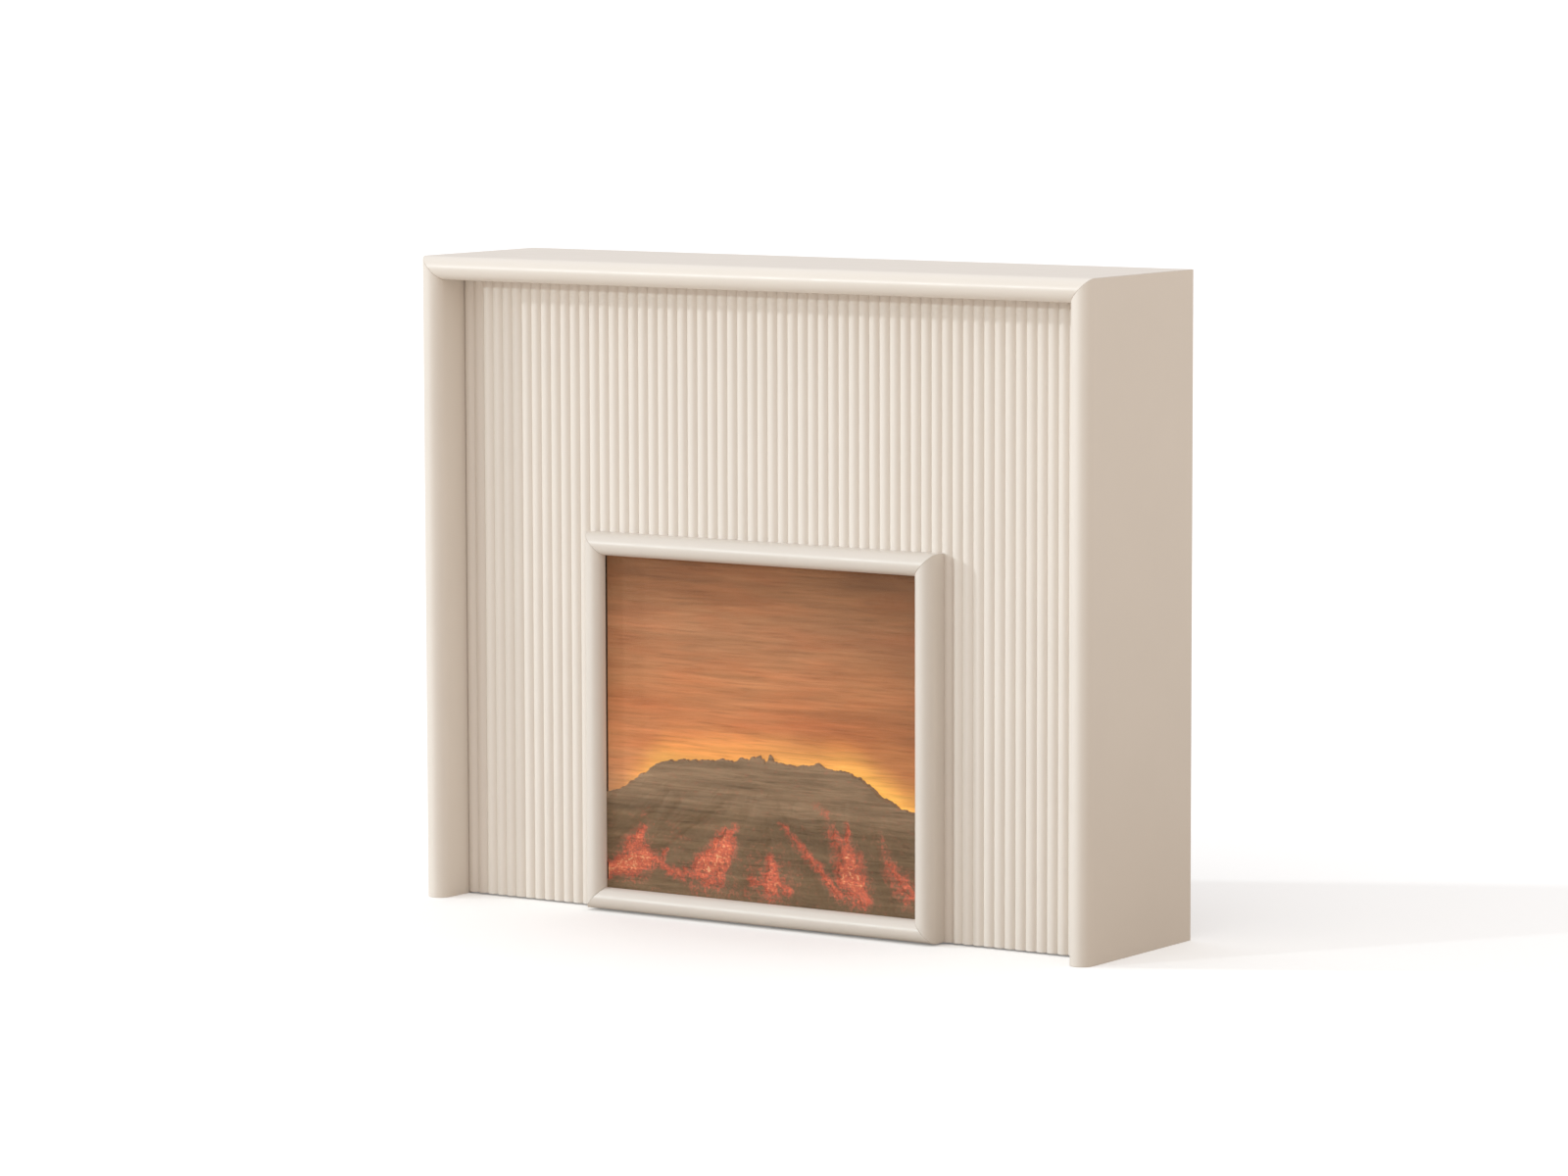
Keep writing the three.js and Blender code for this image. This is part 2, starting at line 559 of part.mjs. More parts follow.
function flameReflector(parent) {
  const line = new THREE.Group();
  line.position.set(0, ROTOR_Y, ROTOR_Z);
  parent.add(line);

  const tabs = [];
  for (let i = 0; i < ROTOR_TABS; i++) {
    const tab = new THREE.BoxGeometry(...ROTOR_TAB_SIZE, 2 * ROTOR_TAB_REACH);
    const x = (i - (ROTOR_TABS - 1) / 2) * ROTOR_TAB_PITCH + ROTOR_TABS_SHIFT;
    tabs.push(tab.rotateX(i * ROTOR_TAB_TWIST).translate(x, 0, 0));
  }
  const rotor = join(rodX(SPINDLE_RADIUS, SPINDLE_LEFT, SPINDLE_RIGHT), ...tabs);
  place(line, "flame_rotor", rotor, mirrorFoil);

  const bracketHole = BUSH_RADIUS + GAP;
  place(line, "rotor_bracket_left", spindleBracket(1, bracketHole), zincSteel, BRACKET_LEFT_X, 0, 0);
  place(line, "rotor_bracket_right", spindleBracket(-1, bracketHole), zincSteel, BRACKET_RIGHT_X, 0, 0);
  place(line, "rotor_bush", spindleBush(), bronze, BRACKET_LEFT_X + SHEET / 2, 0, 0);

  const motorX = BRACKET_RIGHT_X + SHEET + GAP;
  const { radius, length, earThickness, earHalfWidth, earReach } = ROTOR_MOTOR;
  const can = rodX(radius, 0, length, ROUND_SIDES);
  const ears = block([0, earThickness], [-earHalfWidth, earHalfWidth], [-earReach, earReach]);
  const bore = rodX(SPINDLE_RADIUS + GAP, -THROUGH, SPINDLE_RIGHT - motorX + LAP, ROUND_SIDES);
  place(line, "rotor_motor", cut(join(can, ears), bore), castHousing, motorX, 0, 0);
}

function spindleBush() {
  return cut(
    rodX(BUSH_RADIUS, -BUSH_LENGTH / 2, BUSH_LENGTH / 2, ROUND_SIDES),
    rodX(SPINDLE_RADIUS + GAP, -THROUGH, THROUGH, ROUND_SIDES),
  );
}

// ---- Fan heater ----
const WHEEL_Y = 42;
const WHEEL_Z = 405;
const WHEEL_RADIUS = 24;
const WHEEL_HALF = 118;
const WHEEL_BLADES = 18;
const SCROLL_RADIUS = 30;
const HOUSING_HALF = 126;
const OUTLET_DEPTH = INSERT_BACK_Y - GAP - WHEEL_Y;
const WHEEL_DISC_HALF = 1; // half thickness of the discs that carry the blades
const BLADE_SIZE = [1.2, 7];
const BLADE_PITCH = THREE.MathUtils.degToRad(35);
const BLADE_MIDDLE = WHEEL_RADIUS - 4.5;
const SPINDLE_PAST_BUSH = 8;
const SPINDLE_INTO_MOTOR = 24;
const TONGUE_Y = 18;
const TONGUE_Z = -26;
const ELEMENT_Y = 36; // behind the wheel's axis
const ELEMENT = { depth: 12, railBottoms: [-20, 24], railHeight: 4, core: [3, 9, 0, 6], endGap: 3 };
const FINS = { count: 25, halfThickness: 0.7, y: [1, 11], z: [-17, 25] };
const BLOWER_MOTOR = { radius: 22, length: 34, laminations: [8, 24], laminationHalf: 27 };
const THERMAL_CUTOUT_X = 60;
const THERMAL_CUTOUT_Y = 25;
const GRILLE_MARGIN = [12, 10]; // beyond the outlet, sideways and upwards
const GRILLE_THICKNESS = 2.5;
const LOUVRE_ROWS = 5;
const LOUVRE_BAR = [6, 3.6]; // upright bar between the columns, level bars between the rows

function blowerWheel() {
  const disc = (x) => rodX(WHEEL_RADIUS, x - WHEEL_DISC_HALF, x + WHEEL_DISC_HALF, ROUND_SIDES);
  const parts = [-WHEEL_HALF, 0, WHEEL_HALF].map(disc);
  for (let i = 0; i < WHEEL_BLADES; i++) {
    const blade = new THREE.BoxGeometry(2 * WHEEL_HALF, ...BLADE_SIZE);
    blade.rotateX(BLADE_PITCH).translate(0, 0, BLADE_MIDDLE);
    parts.push(blade.rotateX((i / WHEEL_BLADES) * 2 * Math.PI));
  }
  const spindleEnds = [-HOUSING_HALF - SPINDLE_PAST_BUSH, HOUSING_HALF + SPINDLE_INTO_MOTOR];
  return join(rodX(SPINDLE_RADIUS, ...spindleEnds), ...parts);
}

// Round the front of the wheel and back along the roof of the outlet, with the tongue below.
function blowerHousing() {
  const outer = SCROLL_RADIUS + SHEET;
  const scroll = new THREE.Shape();
  scroll.moveTo(OUTLET_DEPTH, outer);
  scroll.absarc(0, 0, outer, Math.PI / 2, Math.PI * 1.25, false);
  scroll.absarc(0, 0, SCROLL_RADIUS, Math.PI * 1.25, Math.PI / 2, true);
  scroll.lineTo(OUTLET_DEPTH, SCROLL_RADIUS);
  scroll.closePath();
  const tongue = block([0, 2 * HOUSING_HALF], [TONGUE_Y, OUTLET_DEPTH], [TONGUE_Z, TONGUE_Z + SHEET]);
  const endPlate = new THREE.Shape();
  endPlate.moveTo(OUTLET_DEPTH, outer);
  endPlate.absarc(0, 0, outer, Math.PI / 2, Math.PI * 1.5, false);
  endPlate.lineTo(OUTLET_DEPTH, -outer);
  endPlate.closePath();
  const ends = [0, 2 * HOUSING_HALF - SHEET].map((x) => alongX(endPlate, SHEET).translate(x, 0, 0));
  const sheets = join(alongX(scroll, 2 * HOUSING_HALF), tongue, ...ends);
  return cut(sheets.translate(-HOUSING_HALF, 0, 0), rodX(BUSH_RADIUS + GAP, -WIDTH, WIDTH, ROUND_SIDES));
}

// Two rails and a heated core, with upright fins across them.
function heatingElement() {
  const half = HOUSING_HALF - SHEET - ELEMENT.endGap;
  const { depth, railHeight } = ELEMENT;
  const rails = ELEMENT.railBottoms.map((z) => block([-half, half], [0, depth], [z, z + railHeight]));
  const [coreFront, coreBack, coreBottom, coreTop] = ELEMENT.core;
  const core = block([-half, half], [coreFront, coreBack], [coreBottom, coreTop]);
  const fins = [];
  const outermost = half - ELEMENT.endGap;
  for (let i = 0; i < FINS.count; i++) {
    const x = -outermost + (i * 2 * outermost) / (FINS.count - 1);
    fins.push(block([x - FINS.halfThickness, x + FINS.halfThickness], FINS.y, FINS.z));
  }
  return join(...rails, core, ...fins);
}

function blowerMotor() {
  const { radius, length, laminations, laminationHalf } = BLOWER_MOTOR;
  const square = [-laminationHalf, laminationHalf];
  const can = rodX(radius, 0, length, ROUND_SIDES);
  const bore = rodX(SPINDLE_RADIUS + GAP, -THROUGH, SPINDLE_INTO_MOTOR, ROUND_SIDES);
  return cut(join(can, block(laminations, square, square)), bore);
}

function outletGrille() {
  const [sideMargin, upMargin] = GRILLE_MARGIN;
  const [uprightBar, levelBar] = LOUVRE_BAR;
  const plate = block(
    [-OUTLET_X - sideMargin, OUTLET_X + sideMargin],
    [0, GRILLE_THICKNESS],
    [OUTLET_BOTTOM - upMargin, OUTLET_TOP + upMargin],
  );
  const louvres = [];
  const pitch = (OUTLET_TOP - OUTLET_BOTTOM) / LOUVRE_ROWS;
  for (let row = 0; row < LOUVRE_ROWS; row++) {
    for (const x of [-OUTLET_X / 2, OUTLET_X / 2]) {
      const slot = new THREE.BoxGeometry(OUTLET_X - uprightBar, THROUGH, pitch - levelBar);
      louvres.push(slot.translate(x, 0, OUTLET_BOTTOM + (row + 0.5) * pitch));
    }
  }
  return cut(plate, ...louvres);
}

function fanHeater(parent) {
  const heater = new THREE.Group();
  heater.position.set(0, WHEEL_Y, WHEEL_Z);
  parent.add(heater);
  place(heater, "blower_wheel", blowerWheel(), aluminium);
  place(heater, "blower_housing", blowerHousing(), zincSteel);
  place(heater, "blower_bush", spindleBush(), bronze, SHEET / 2 - HOUSING_HALF, 0, 0);
  place(heater, "blower_motor", blowerMotor(), castHousing, HOUSING_HALF + GAP, 0, 0);
  place(heater, "heating_element", heatingElement(), aluminium, 0, ELEMENT_Y, 0);
  const disc = rodZ(8, 0, 6, ROUND_SIDES);
  const tags = block([-14, 14], [-3, 3], [2, 3.5]);
  const roof = SCROLL_RADIUS + SHEET + GAP;
  place(heater, "thermal_cutout", join(disc, tags), blackPlastic, THERMAL_CUTOUT_X, THERMAL_CUTOUT_Y, roof);
  place(parent, "outlet_grille", outletGrille(), blackSteel, 0, COVER_OUTSIDE_Y + GAP, 0);
}

// ---- Electrics ----
const ROCKER_TILT = THREE.MathUtils.degToRad(7);
const ROCKER_HALF = [10.5, 7.6]; // half width and half height
const ROCKER_PIVOT_Y = COVER_OUTSIDE_Y - 2;
const ROCKER_FACE = { ends: 4.4, middle: 3 }; // distance of the shallow V face from the pivot
const ROCKER_ROOT = { shoulder: -1, depth: -5, halfHeight: 2 };
const BEZEL = { halfX: 16, halfZ: 13, thickness: 2.3 };
const SWITCH_DEPTH = 18;
const SWITCH_WELL = { halfX: 11, halfZ: 8.6, depth: 11 };
const GLAND_NUT = { radius: 10.5, height: 7 };
const GLAND_COLLAR = { radius: 7, end: 12 };
const GLAND_NECK_DEPTH = 8;
const GLAND_BORE = 4;
const TERMINALS = { ways: 3, pitch: 13, halfX: 21, halfY: 9, height: 16, y: 83 };
const TERMINAL_HOLE = { radius: 3, bottom: 10 };
const CONTROL_BOARD = { halfY: 50, halfZ: 60, y: 20, z: 260, postHeight: 7 };
const CONTROL_POSTS = [[-42, -52], [42, -52], [-42, 52], [42, 52]];
const RELAY_YS = [-30, -6];

function switchBody() {
  const bezel = block([-BEZEL.halfX, BEZEL.halfX], [GAP, BEZEL.thickness], [-BEZEL.halfZ, BEZEL.halfZ]);
  const [halfX, halfZ] = SWITCH_CUT.map((half) => half - GAP);
  const trunk = block([-halfX, halfX], [-SWITCH_DEPTH, LAP], [-halfZ, halfZ]);
  const { halfX: wellX, halfZ: wellZ, depth } = SWITCH_WELL;
  return cut(join(bezel, trunk), block([-wellX, wellX], [-depth, THROUGH], [-wellZ, wellZ]));
}

// A rocker about its own pivot, with a shallow V face towards +Y.
function rocker() {
  const [halfX, halfZ] = ROCKER_HALF;
  const { shoulder, depth, halfHeight } = ROCKER_ROOT;
  const profile = new THREE.Shape();
  profile.moveTo(ROCKER_FACE.ends, -halfZ);
  profile.lineTo(ROCKER_FACE.middle, 0);
  profile.lineTo(ROCKER_FACE.ends, halfZ);
  profile.lineTo(shoulder, halfZ + shoulder);
  profile.lineTo(depth, halfHeight);
  profile.lineTo(depth, -halfHeight);
  profile.lineTo(shoulder, -halfZ - shoulder);
  profile.closePath();
  return alongX(profile, 2 * halfX).translate(-halfX, 0, 0);
}

function cordGland() {
  const nut = new THREE.CylinderGeometry(GLAND_NUT.radius, GLAND_NUT.radius, GLAND_NUT.height, 6);
  nut.translate(0, GLAND_NUT.height / 2 + GAP, 0);
  const collar = rodY(GLAND_COLLAR.radius, 2 * LAP, GLAND_COLLAR.end, ROUND_SIDES);
  const neck = rodY(GLAND_HOLE - GAP, -GLAND_NECK_DEPTH, 2 * LAP, ROUND_SIDES);
  return cut(join(nut, collar, neck), rodY(GLAND_BORE, -THROUGH, THROUGH, ROUND_SIDES));
}

function terminalBlock() {
  const { ways, pitch, halfX, halfY, height } = TERMINALS;
  const holes = [];
  for (let way = 0; way < ways; way++) {
    const hole = rodZ(TERMINAL_HOLE.radius, TERMINAL_HOLE.bottom, height + LAP);
    holes.push(hole.translate((way - (ways - 1) / 2) * pitch, 0, 0));
  }
  return cut(block([-halfX, halfX], [-halfY, halfY], [0, height]), ...holes);
}

// A board on four posts, with two relays, a transformer and a capacitor.
function controlBoard() {
  const { halfY, halfZ, postHeight } = CONTROL_BOARD;
  const board = block([0, BOARD_THICKNESS], [-halfY, halfY], [-halfZ, halfZ]);
  const posts = CONTROL_POSTS.map(([y, z]) => rodX(POST_RADIUS, -postHeight, LAP).translate(0, y, z));
  const relays = RELAY_YS.map((y) => block([LAP, 16], [y, y + 18], [-45, -25]));
  const transformer = block([LAP, 24], [-32, 4], [5, 38]);
  const capacitor = rodX(8, LAP, 22, ROUND_SIDES).translate(0, 26, 22);
  return join(board, ...posts, ...relays, transformer, capacitor);
}

function electrics(parent) {
  for (const { name, x } of SWITCHES) {
    place(parent, `${name}_switch_body`, switchBody(), blackPlastic, x, COVER_OUTSIDE_Y, SWITCH_Z);
    const key = place(parent, `${name}_rocker`, rocker(), blackPlastic, x, ROCKER_PIVOT_Y, SWITCH_Z);
    key.rotation.x = -ROCKER_TILT;
  }
  place(parent, "cord_gland", cordGland(), blackPlastic, GLAND_X, COVER_OUTSIDE_Y, GLAND_Z);
  place(parent, "terminal_block", terminalBlock(), blackPlastic, GLAND_X, TERMINALS.y, CAVITY_BOTTOM + GAP);
  const boardX = -CAVITY_X + CONTROL_BOARD.postHeight + GAP;
  place(parent, "control_board", controlBoard(), circuitBoard, boardX, CONTROL_BOARD.y, CONTROL_BOARD.z);
}

// ---- Assembly ----
const fireplace = new THREE.Group();
const mantel = new THREE.Group();
const insert = new THREE.Group();
fireplace.add(mantel, insert);
mantelBoards(mantel);
flutedPanel(mantel);
pictureFrame(mantel);
cabinetParts(mantel);
insertCase(insert);
screws(insert);
flamePicture(insert);
lightBoards(insert);
flameReflector(insert);
fanHeater(insert);
electrics(insert);

export default fireplace;
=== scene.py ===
"""Electric fireplace: the looks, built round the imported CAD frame.

Metres, +Z up, front towards -Y. Lengths written with MM are millimetres.
"""

import functools
import math

import bmesh
import bpy
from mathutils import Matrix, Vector, noise


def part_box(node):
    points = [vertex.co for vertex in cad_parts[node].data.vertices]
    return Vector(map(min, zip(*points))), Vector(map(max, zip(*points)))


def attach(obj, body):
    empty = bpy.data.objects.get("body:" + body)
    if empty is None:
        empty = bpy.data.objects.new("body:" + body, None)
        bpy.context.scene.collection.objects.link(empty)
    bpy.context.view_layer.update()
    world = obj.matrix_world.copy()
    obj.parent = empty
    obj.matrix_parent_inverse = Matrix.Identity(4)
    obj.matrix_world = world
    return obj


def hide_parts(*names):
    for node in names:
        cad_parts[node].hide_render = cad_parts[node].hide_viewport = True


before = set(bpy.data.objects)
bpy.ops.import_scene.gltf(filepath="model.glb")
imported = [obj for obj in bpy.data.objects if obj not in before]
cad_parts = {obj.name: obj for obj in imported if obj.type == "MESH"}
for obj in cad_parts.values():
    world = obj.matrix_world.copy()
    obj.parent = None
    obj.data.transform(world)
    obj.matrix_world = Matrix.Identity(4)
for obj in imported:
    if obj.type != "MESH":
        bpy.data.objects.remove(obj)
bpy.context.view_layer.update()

MM = 0.001
CASING = "casing"

# ---- Places and sizes, from the frame ----
TOP_LO, TOP_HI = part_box("top_board")
LEFT_LO, LEFT_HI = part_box("side_board_left")
RIGHT_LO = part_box("side_board_right")[0]
PANEL_LO, PANEL_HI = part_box("fluted_panel")
RAIL_LO, RAIL_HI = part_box("frame_top_rail")
SILL_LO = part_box("frame_bottom_rail")[0]
STILE_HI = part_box("frame_right_stile")[1]
LOG_LO, LOG_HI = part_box("log_set")
EMBER_LO, EMBER_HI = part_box("ember_bed")
SCREEN_LO, SCREEN_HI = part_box("flame_screen")
BOARD = TOP_HI.z - TOP_LO.z
MOULDING = RAIL_HI.z - RAIL_LO.z
REBATE = 12 * MM
LOG_THICK = LOG_HI.y - LOG_LO.y
FLUTES = 62
FLUTE_RISE = 3.5 * MM
MITRE_GAP = 0.1 * MM

# ---- Light ----
KEY_STRENGTH = 0.95
KEY_COLOUR = (0.86, 0.94, 1.0)
KEY_TOWARDS = (0.837, 0.455, -0.303)
FILL_STRENGTH = 0.75
FILL_COLOUR = (0.86, 0.97, 1.0)
FILL_TOWARDS = (0.542, 0.813, -0.211)
LIGHT_SPREAD = 2.5  # degrees across
SKY_LEFT = (0.66, 0.6, 0.56)
SKY_RIGHT = (0.815, 0.665, 0.505)
SKY_TOP = (0.97, 0.98, 1.0)
BOUNCE = (0.72, 0.66, 0.6)
BOUNCE_DARK = (0.42, 0.35, 0.28)
FLOOR_GLOW = 0.14

# ---- Camera, angles in degrees ----
LENS = 139.95
EYE = (4.266, -6.282, 1.229)
LOOKS_DOWN = 6.095
ROLL = 0.154
TURN = 34.291


# ---- Meshes ----
def piece(name, vertices, faces, material, body, slot, *nodes, crease):
    """A new mesh object that rides on a body and stands for the CAD nodes it replaces."""
    mesh = bpy.data.meshes.new(name)
    mesh.from_pydata([tuple(v) for v in vertices], [], faces)
    return register(mesh, name, material, body, slot, *nodes, crease=crease)


def register(mesh, name, material, body, slot, *nodes, crease):
    """The object for a mesh: smooth up to the crease angle, in its material, riding on its body."""
    work = bmesh.new()
    work.from_mesh(mesh)
    bmesh.ops.remove_doubles(work, verts=work.verts, dist=1e-7)
    bmesh.ops.recalc_face_normals(work, faces=work.faces)
    work.to_mesh(mesh)
    work.free()
    mesh.polygons.foreach_set("use_smooth", [True] * len(mesh.polygons))
    mesh.set_sharp_from_angle(angle=math.radians(crease))
    mesh.materials.clear()
    mesh.materials.append(material)
    made = bpy.data.objects.new(name, mesh)
    bpy.context.scene.collection.objects.link(made)
    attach(made, body)
    if nodes:
        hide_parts(*nodes)
    return made


def rings_to_solid(rings):
    """Vertices and faces of a closed solid through rings of equal length, with flat ends."""
    count = len(rings[0])
    vertices = [v for ring in rings for v in ring]
    faces = []
    for r in range(len(rings) - 1):
        for i in range(count):
            j = (i + 1) % count
            faces.append((r * count + i, r * count + j, (r + 1) * count + j, (r + 1) * count + i))
    last = (len(rings) - 1) * count
    faces.append(tuple(reversed(range(count))))
    faces.append(tuple(last + i for i in range(count)))
    return vertices, faces


def half_round_section(y_front, y_back, width, step=0.0):
    """(y, out) points of a bar with a half-round nose. step is a rebate behind the nose, inside."""
    radius = width / 2
    soft = 0.6 * MM
    tangent = 0.5 * MM
    inner_y = y_front + radius
    points = [(inner_y + tangent, width)]
    steps = 40
    for k in range(steps + 1):
        angle = math.pi / 2 - math.pi * k / steps
        points.append((inner_y - radius * math.cos(angle), radius + radius * math.sin(angle)))
    if step:
        points += [(inner_y, step - soft), (inner_y + soft, step)]
    else:
        points.append((inner_y + tangent, 0.0))
    points += [(y_back - 2 * soft, step), (y_back - soft, step), (y_back, step + soft)]
    points += [(y_back, width - soft), (y_back - soft, width), (y_back - 2 * soft, width)]
    return points


def mitred_bar(name, node, corner, along, out, length, section, mitres, paint):
    """A bar from an inner corner (x, z). A mitred end grows by the distance out."""
    arris = 0.35 * MM
    mid_y = sum(y for y, _ in section) / len(section)
    mid_out = sum(o for _, o in section) / len(section)

    def ring(end, inset, shrink):
        made = []
        for y, outward in section:
            span = max(abs(y - mid_y), abs(outward - mid_out), 1e-9)
            pull = 1 - shrink / span if span > shrink else 0.0
            y = mid_y + (y - mid_y) * pull
            outward = mid_out + (outward - mid_out) * pull
            grow = outward if mitres[end] else 0.0
            gap = MITRE_GAP if mitres[end] else 0.0
            t = length + grow - gap - inset if end else gap + inset - grow
            x = corner[0] + along[0] * t + out[0] * outward
            z = corner[1] + along[1] * t + out[1] * outward
            made.append(Vector((x, y, z)))
        return made

    rings = [ring(0, 0, arris), ring(0, arris, 0), ring(0, 3 * arris, 0)]
    rings += [ring(1, 3 * arris, 0), ring(1, arris, 0), ring(1, 0, arris)]
    vertices, faces = rings_to_solid(rings)
    piece(name, vertices, faces, paint, CASING, "cream_paint", node, crease=50)


def slab(points, cells, depth_at, y_back):
    """A closed slab over cells (column, row) of a grid of (x, z) points, with walls at every edge."""
    used = sorted({(c + i, r + j) for c, r in cells for i in (0, 1) for j in (0, 1)})
    index = {key: number for number, key in enumerate(used)}
    offset = len(used)
    front = [(x, depth_at(x, z), z) for x, z in (points[key] for key in used)]
    back = [(x, y_back, z) for x, z in (points[key] for key in used)]
    faces = []
    for c, r in sorted(cells):
        a, b = index[c, r], index[c + 1, r]
        up_a, up_b = index[c, r + 1], index[c + 1, r + 1]
        faces.append((a, b, up_b, up_a))
        faces.append((offset + a, offset + up_a, offset + up_b, offset + b))
        for neighbour, p, q in (
            ((c - 1, r), a, up_a),
            ((c + 1, r), up_b, b),
            ((c, r - 1), b, a),
            ((c, r + 1), up_a, up_b),
        ):
            if neighbour not in cells:
                faces.append((p, q, offset + q, offset + p))
    return front + back, faces


def relief(name, columns, depth_at, y_back, material, slot, *nodes):
    """A closed slab over a whole grid, whose front follows depth_at(x, z)."""
    points = {(c, r): point for c, column in enumerate(columns) for r, point in enumerate(column)}
    cells = {(c, r) for c in range(len(columns) - 1) for r in range(len(columns[0]) - 1)}
    vertices, faces = slab(points, cells, depth_at, y_back)
    return piece(name, vertices, faces, material, CASING, slot, *nodes, crease=60)


def grid(x0, x1, z0, z1, step):
    """Columns of (x, z) points. z0 and z1 may be functions of x."""
    low = z0 if callable(z0) else lambda x: z0
    high = z1 if callable(z1) else lambda x: z1
    across = max(2, round((x1 - x0) / step))
    tallest = max(high(x0 + (x1 - x0) * i / across) - low(x0) for i in range(across + 1))
    up = max(2, round(tallest / step))
    columns = []
    for i in range(across + 1):
        x = x0 + (x1 - x0) * i / across
        columns.append([(x, low(x) + (high(x) - low(x)) * k / up) for k in range(up + 1)])
    return columns


def refined(node, body, material, slot, edge):
    """A copy of a CAD node with its facets merged and its edges rounded."""
    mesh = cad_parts[node].data.copy()
    mesh.name = node + "_fine"
    work = bmesh.new()
    work.from_mesh(mesh)
    bmesh.ops.remove_doubles(work, verts=work.verts, dist=1e-6)
    bmesh.ops.dissolve_limit(
        work, angle_limit=math.radians(1), verts=work.verts, edges=work.edges, delimit=set()
    )
    if edge:
        sharp_angle = math.radians(35)
        inner = [e for e in work.edges if len(e.link_faces) == 2]
        sharp = [e for e in inner if e.calc_face_angle(0) > sharp_angle]
        bmesh.ops.bevel(
            work,
            geom=sharp,
            offset=edge,
            segments=2,
            profile=0.5,
            affect="EDGES",
            clamp_overlap=True,
        )
    bmesh.ops.triangulate(work, faces=[f for f in work.faces if len(f.verts) > 4])
    work.to_mesh(mesh)
    work.free()
    made = register(mesh, node + "_fine", material, body, slot, node, crease=40)
    if edge:
        flat_faces = made.modifiers.new("flat_faces", "WEIGHTED_NORMAL")
        flat_faces.keep_sharp = True


# ---- Material nodes ----
class Surface:
    """A material with a Principled shader, and short ways to add nodes to it."""

    def __init__(self, name, colour, roughness, metallic=0.0):
        self.material = bpy.data.materials.new(name)
        self.material.use_nodes = True
        self.tree = self.material.node_tree
        self.shader = self.tree.nodes["Principled BSDF"]
        self.set("Base Color", (*colour, 1))
        self.set("Roughness", roughness)
        self.set("Metallic", metallic)

    def set(self, socket, value):
        self.shader.inputs[socket].default_value = value

    def node(self, kind, inputs=None, **settings):
        made = self.tree.nodes.new("ShaderNode" + kind)
        for key, value in settings.items():
            setattr(made, key, value)
        for key, value in (inputs or {}).items():
            if isinstance(value, bpy.types.NodeSocket):
                self.tree.links.new(value, made.inputs[key])
            else:
                made.inputs[key].default_value = value
        return made

    def link(self, output, socket):
        self.tree.links.new(output, self.shader.inputs[socket])

    def place(self, scale=(1, 1, 1), turn=0.0):
        coordinates = self.node("TexCoord").outputs["Object"]
        mapping = self.node("Mapping", {"Vector": coordinates, "Scale": scale, "Rotation": (0, turn, 0)})
        return mapping.outputs["Vector"]

    def noise(self, scale, detail=4.0, roughness=0.5, distortion=0.0, stretch=(1, 1, 1)):
        inputs = {"Vector": self.place(stretch), "Scale": scale, "Detail": detail}
        inputs.update({"Roughness": roughness, "Distortion": distortion})
        return self.node("TexNoise", inputs).outputs["Fac"]

    def spots(self, scale, feature="F1", stretch=(1, 1, 1), output="Distance"):
        inputs = {"Vector": self.place(stretch), "Scale": scale}
        return self.node("TexVoronoi", inputs, feature=feature).outputs[output]

    def ramp(self, factor, *stops):
        made = self.node("ValToRGB", {"Fac": factor})
        elements = made.color_ramp.elements
        while len(elements) < len(stops):
            elements.new(0.5)
        for element, (position, colour) in zip(elements, stops):
            element.position = position
            element.color = (*colour, 1) if len(colour) == 3 else colour
        return made.outputs["Color"]

    def fit(self, value, low, high, to_low=0.0, to_high=1.0):
        inputs = {"Value": value, "From Min": low, "From Max": high, "To Min": to_low, "To Max": to_high}
        return self.node("MapRange", inputs).outputs["Result"]

    def maths(self, operation, a, b=0.0):
        made = self.node("Math", operation=operation)
        for socket, value in zip(made.inputs, (a, b)):
            if isinstance(value, bpy.types.NodeSocket):
                self.tree.links.new(value, socket)
            else:
                socket.default_value = value
        return made.outputs[0]

    def mix(self, factor, a, b, blend="MIX"):
        made = self.node("Mix", data_type="RGBA", blend_type=blend)
        for index, value in ((0, factor), (6, a), (7, b)):
            if isinstance(value, bpy.types.NodeSocket):
                self.tree.links.new(value, made.inputs[index])
            elif isinstance(value, tuple) and len(value) == 3:
                made.inputs[index].default_value = (*value, 1)
            else:
                made.inputs[index].default_value = value
        return made.outputs[2]

    def bump(self, height, strength, distance):
        inputs = {"Height": height, "Strength": strength, "Distance": distance}
        self.link(self.node("Bump", inputs).outputs["Normal"], "Normal")


def srgb(red, green, blue):
    """Linear colour of an 8-bit screen colour."""
    shares = (red / 255, green / 255, blue / 255)
    return tuple(c / 12.92 if c <= 0.04045 else ((c + 0.055) / 1.055) ** 2.4 for c in shares)


def varied(surface, colour, amount, scale, stretch=(1, 1, 1)):
    """Colour that drifts a little lighter and darker."""
    low = tuple(c * (1 - amount) for c in colour)
    high = tuple(min(1, c * (1 + amount)) for c in colour)
    mixed = surface.ramp(surface.noise(scale, 3, stretch=stretch), (0.3, low), (0.7, high))
    surface.link(mixed, "Base Color")


def cream_paint(name, depth=1.0):
    """Satin cream paint. A depth below 1 darkens it, as painted shade."""
    colour = tuple(depth * c for c in (0.80, 0.74, 0.675))
    made = Surface(name, colour, 0.42)
    varied(made, colour, 0.012, 6)
    made.link(made.fit(made.noise(35, 3), 0.3, 0.7, 0.33, 0.4), "Roughness")
    made.bump(made.noise(900, 3, 0.6), 0.05, 0.2 * MM)
    return made.material


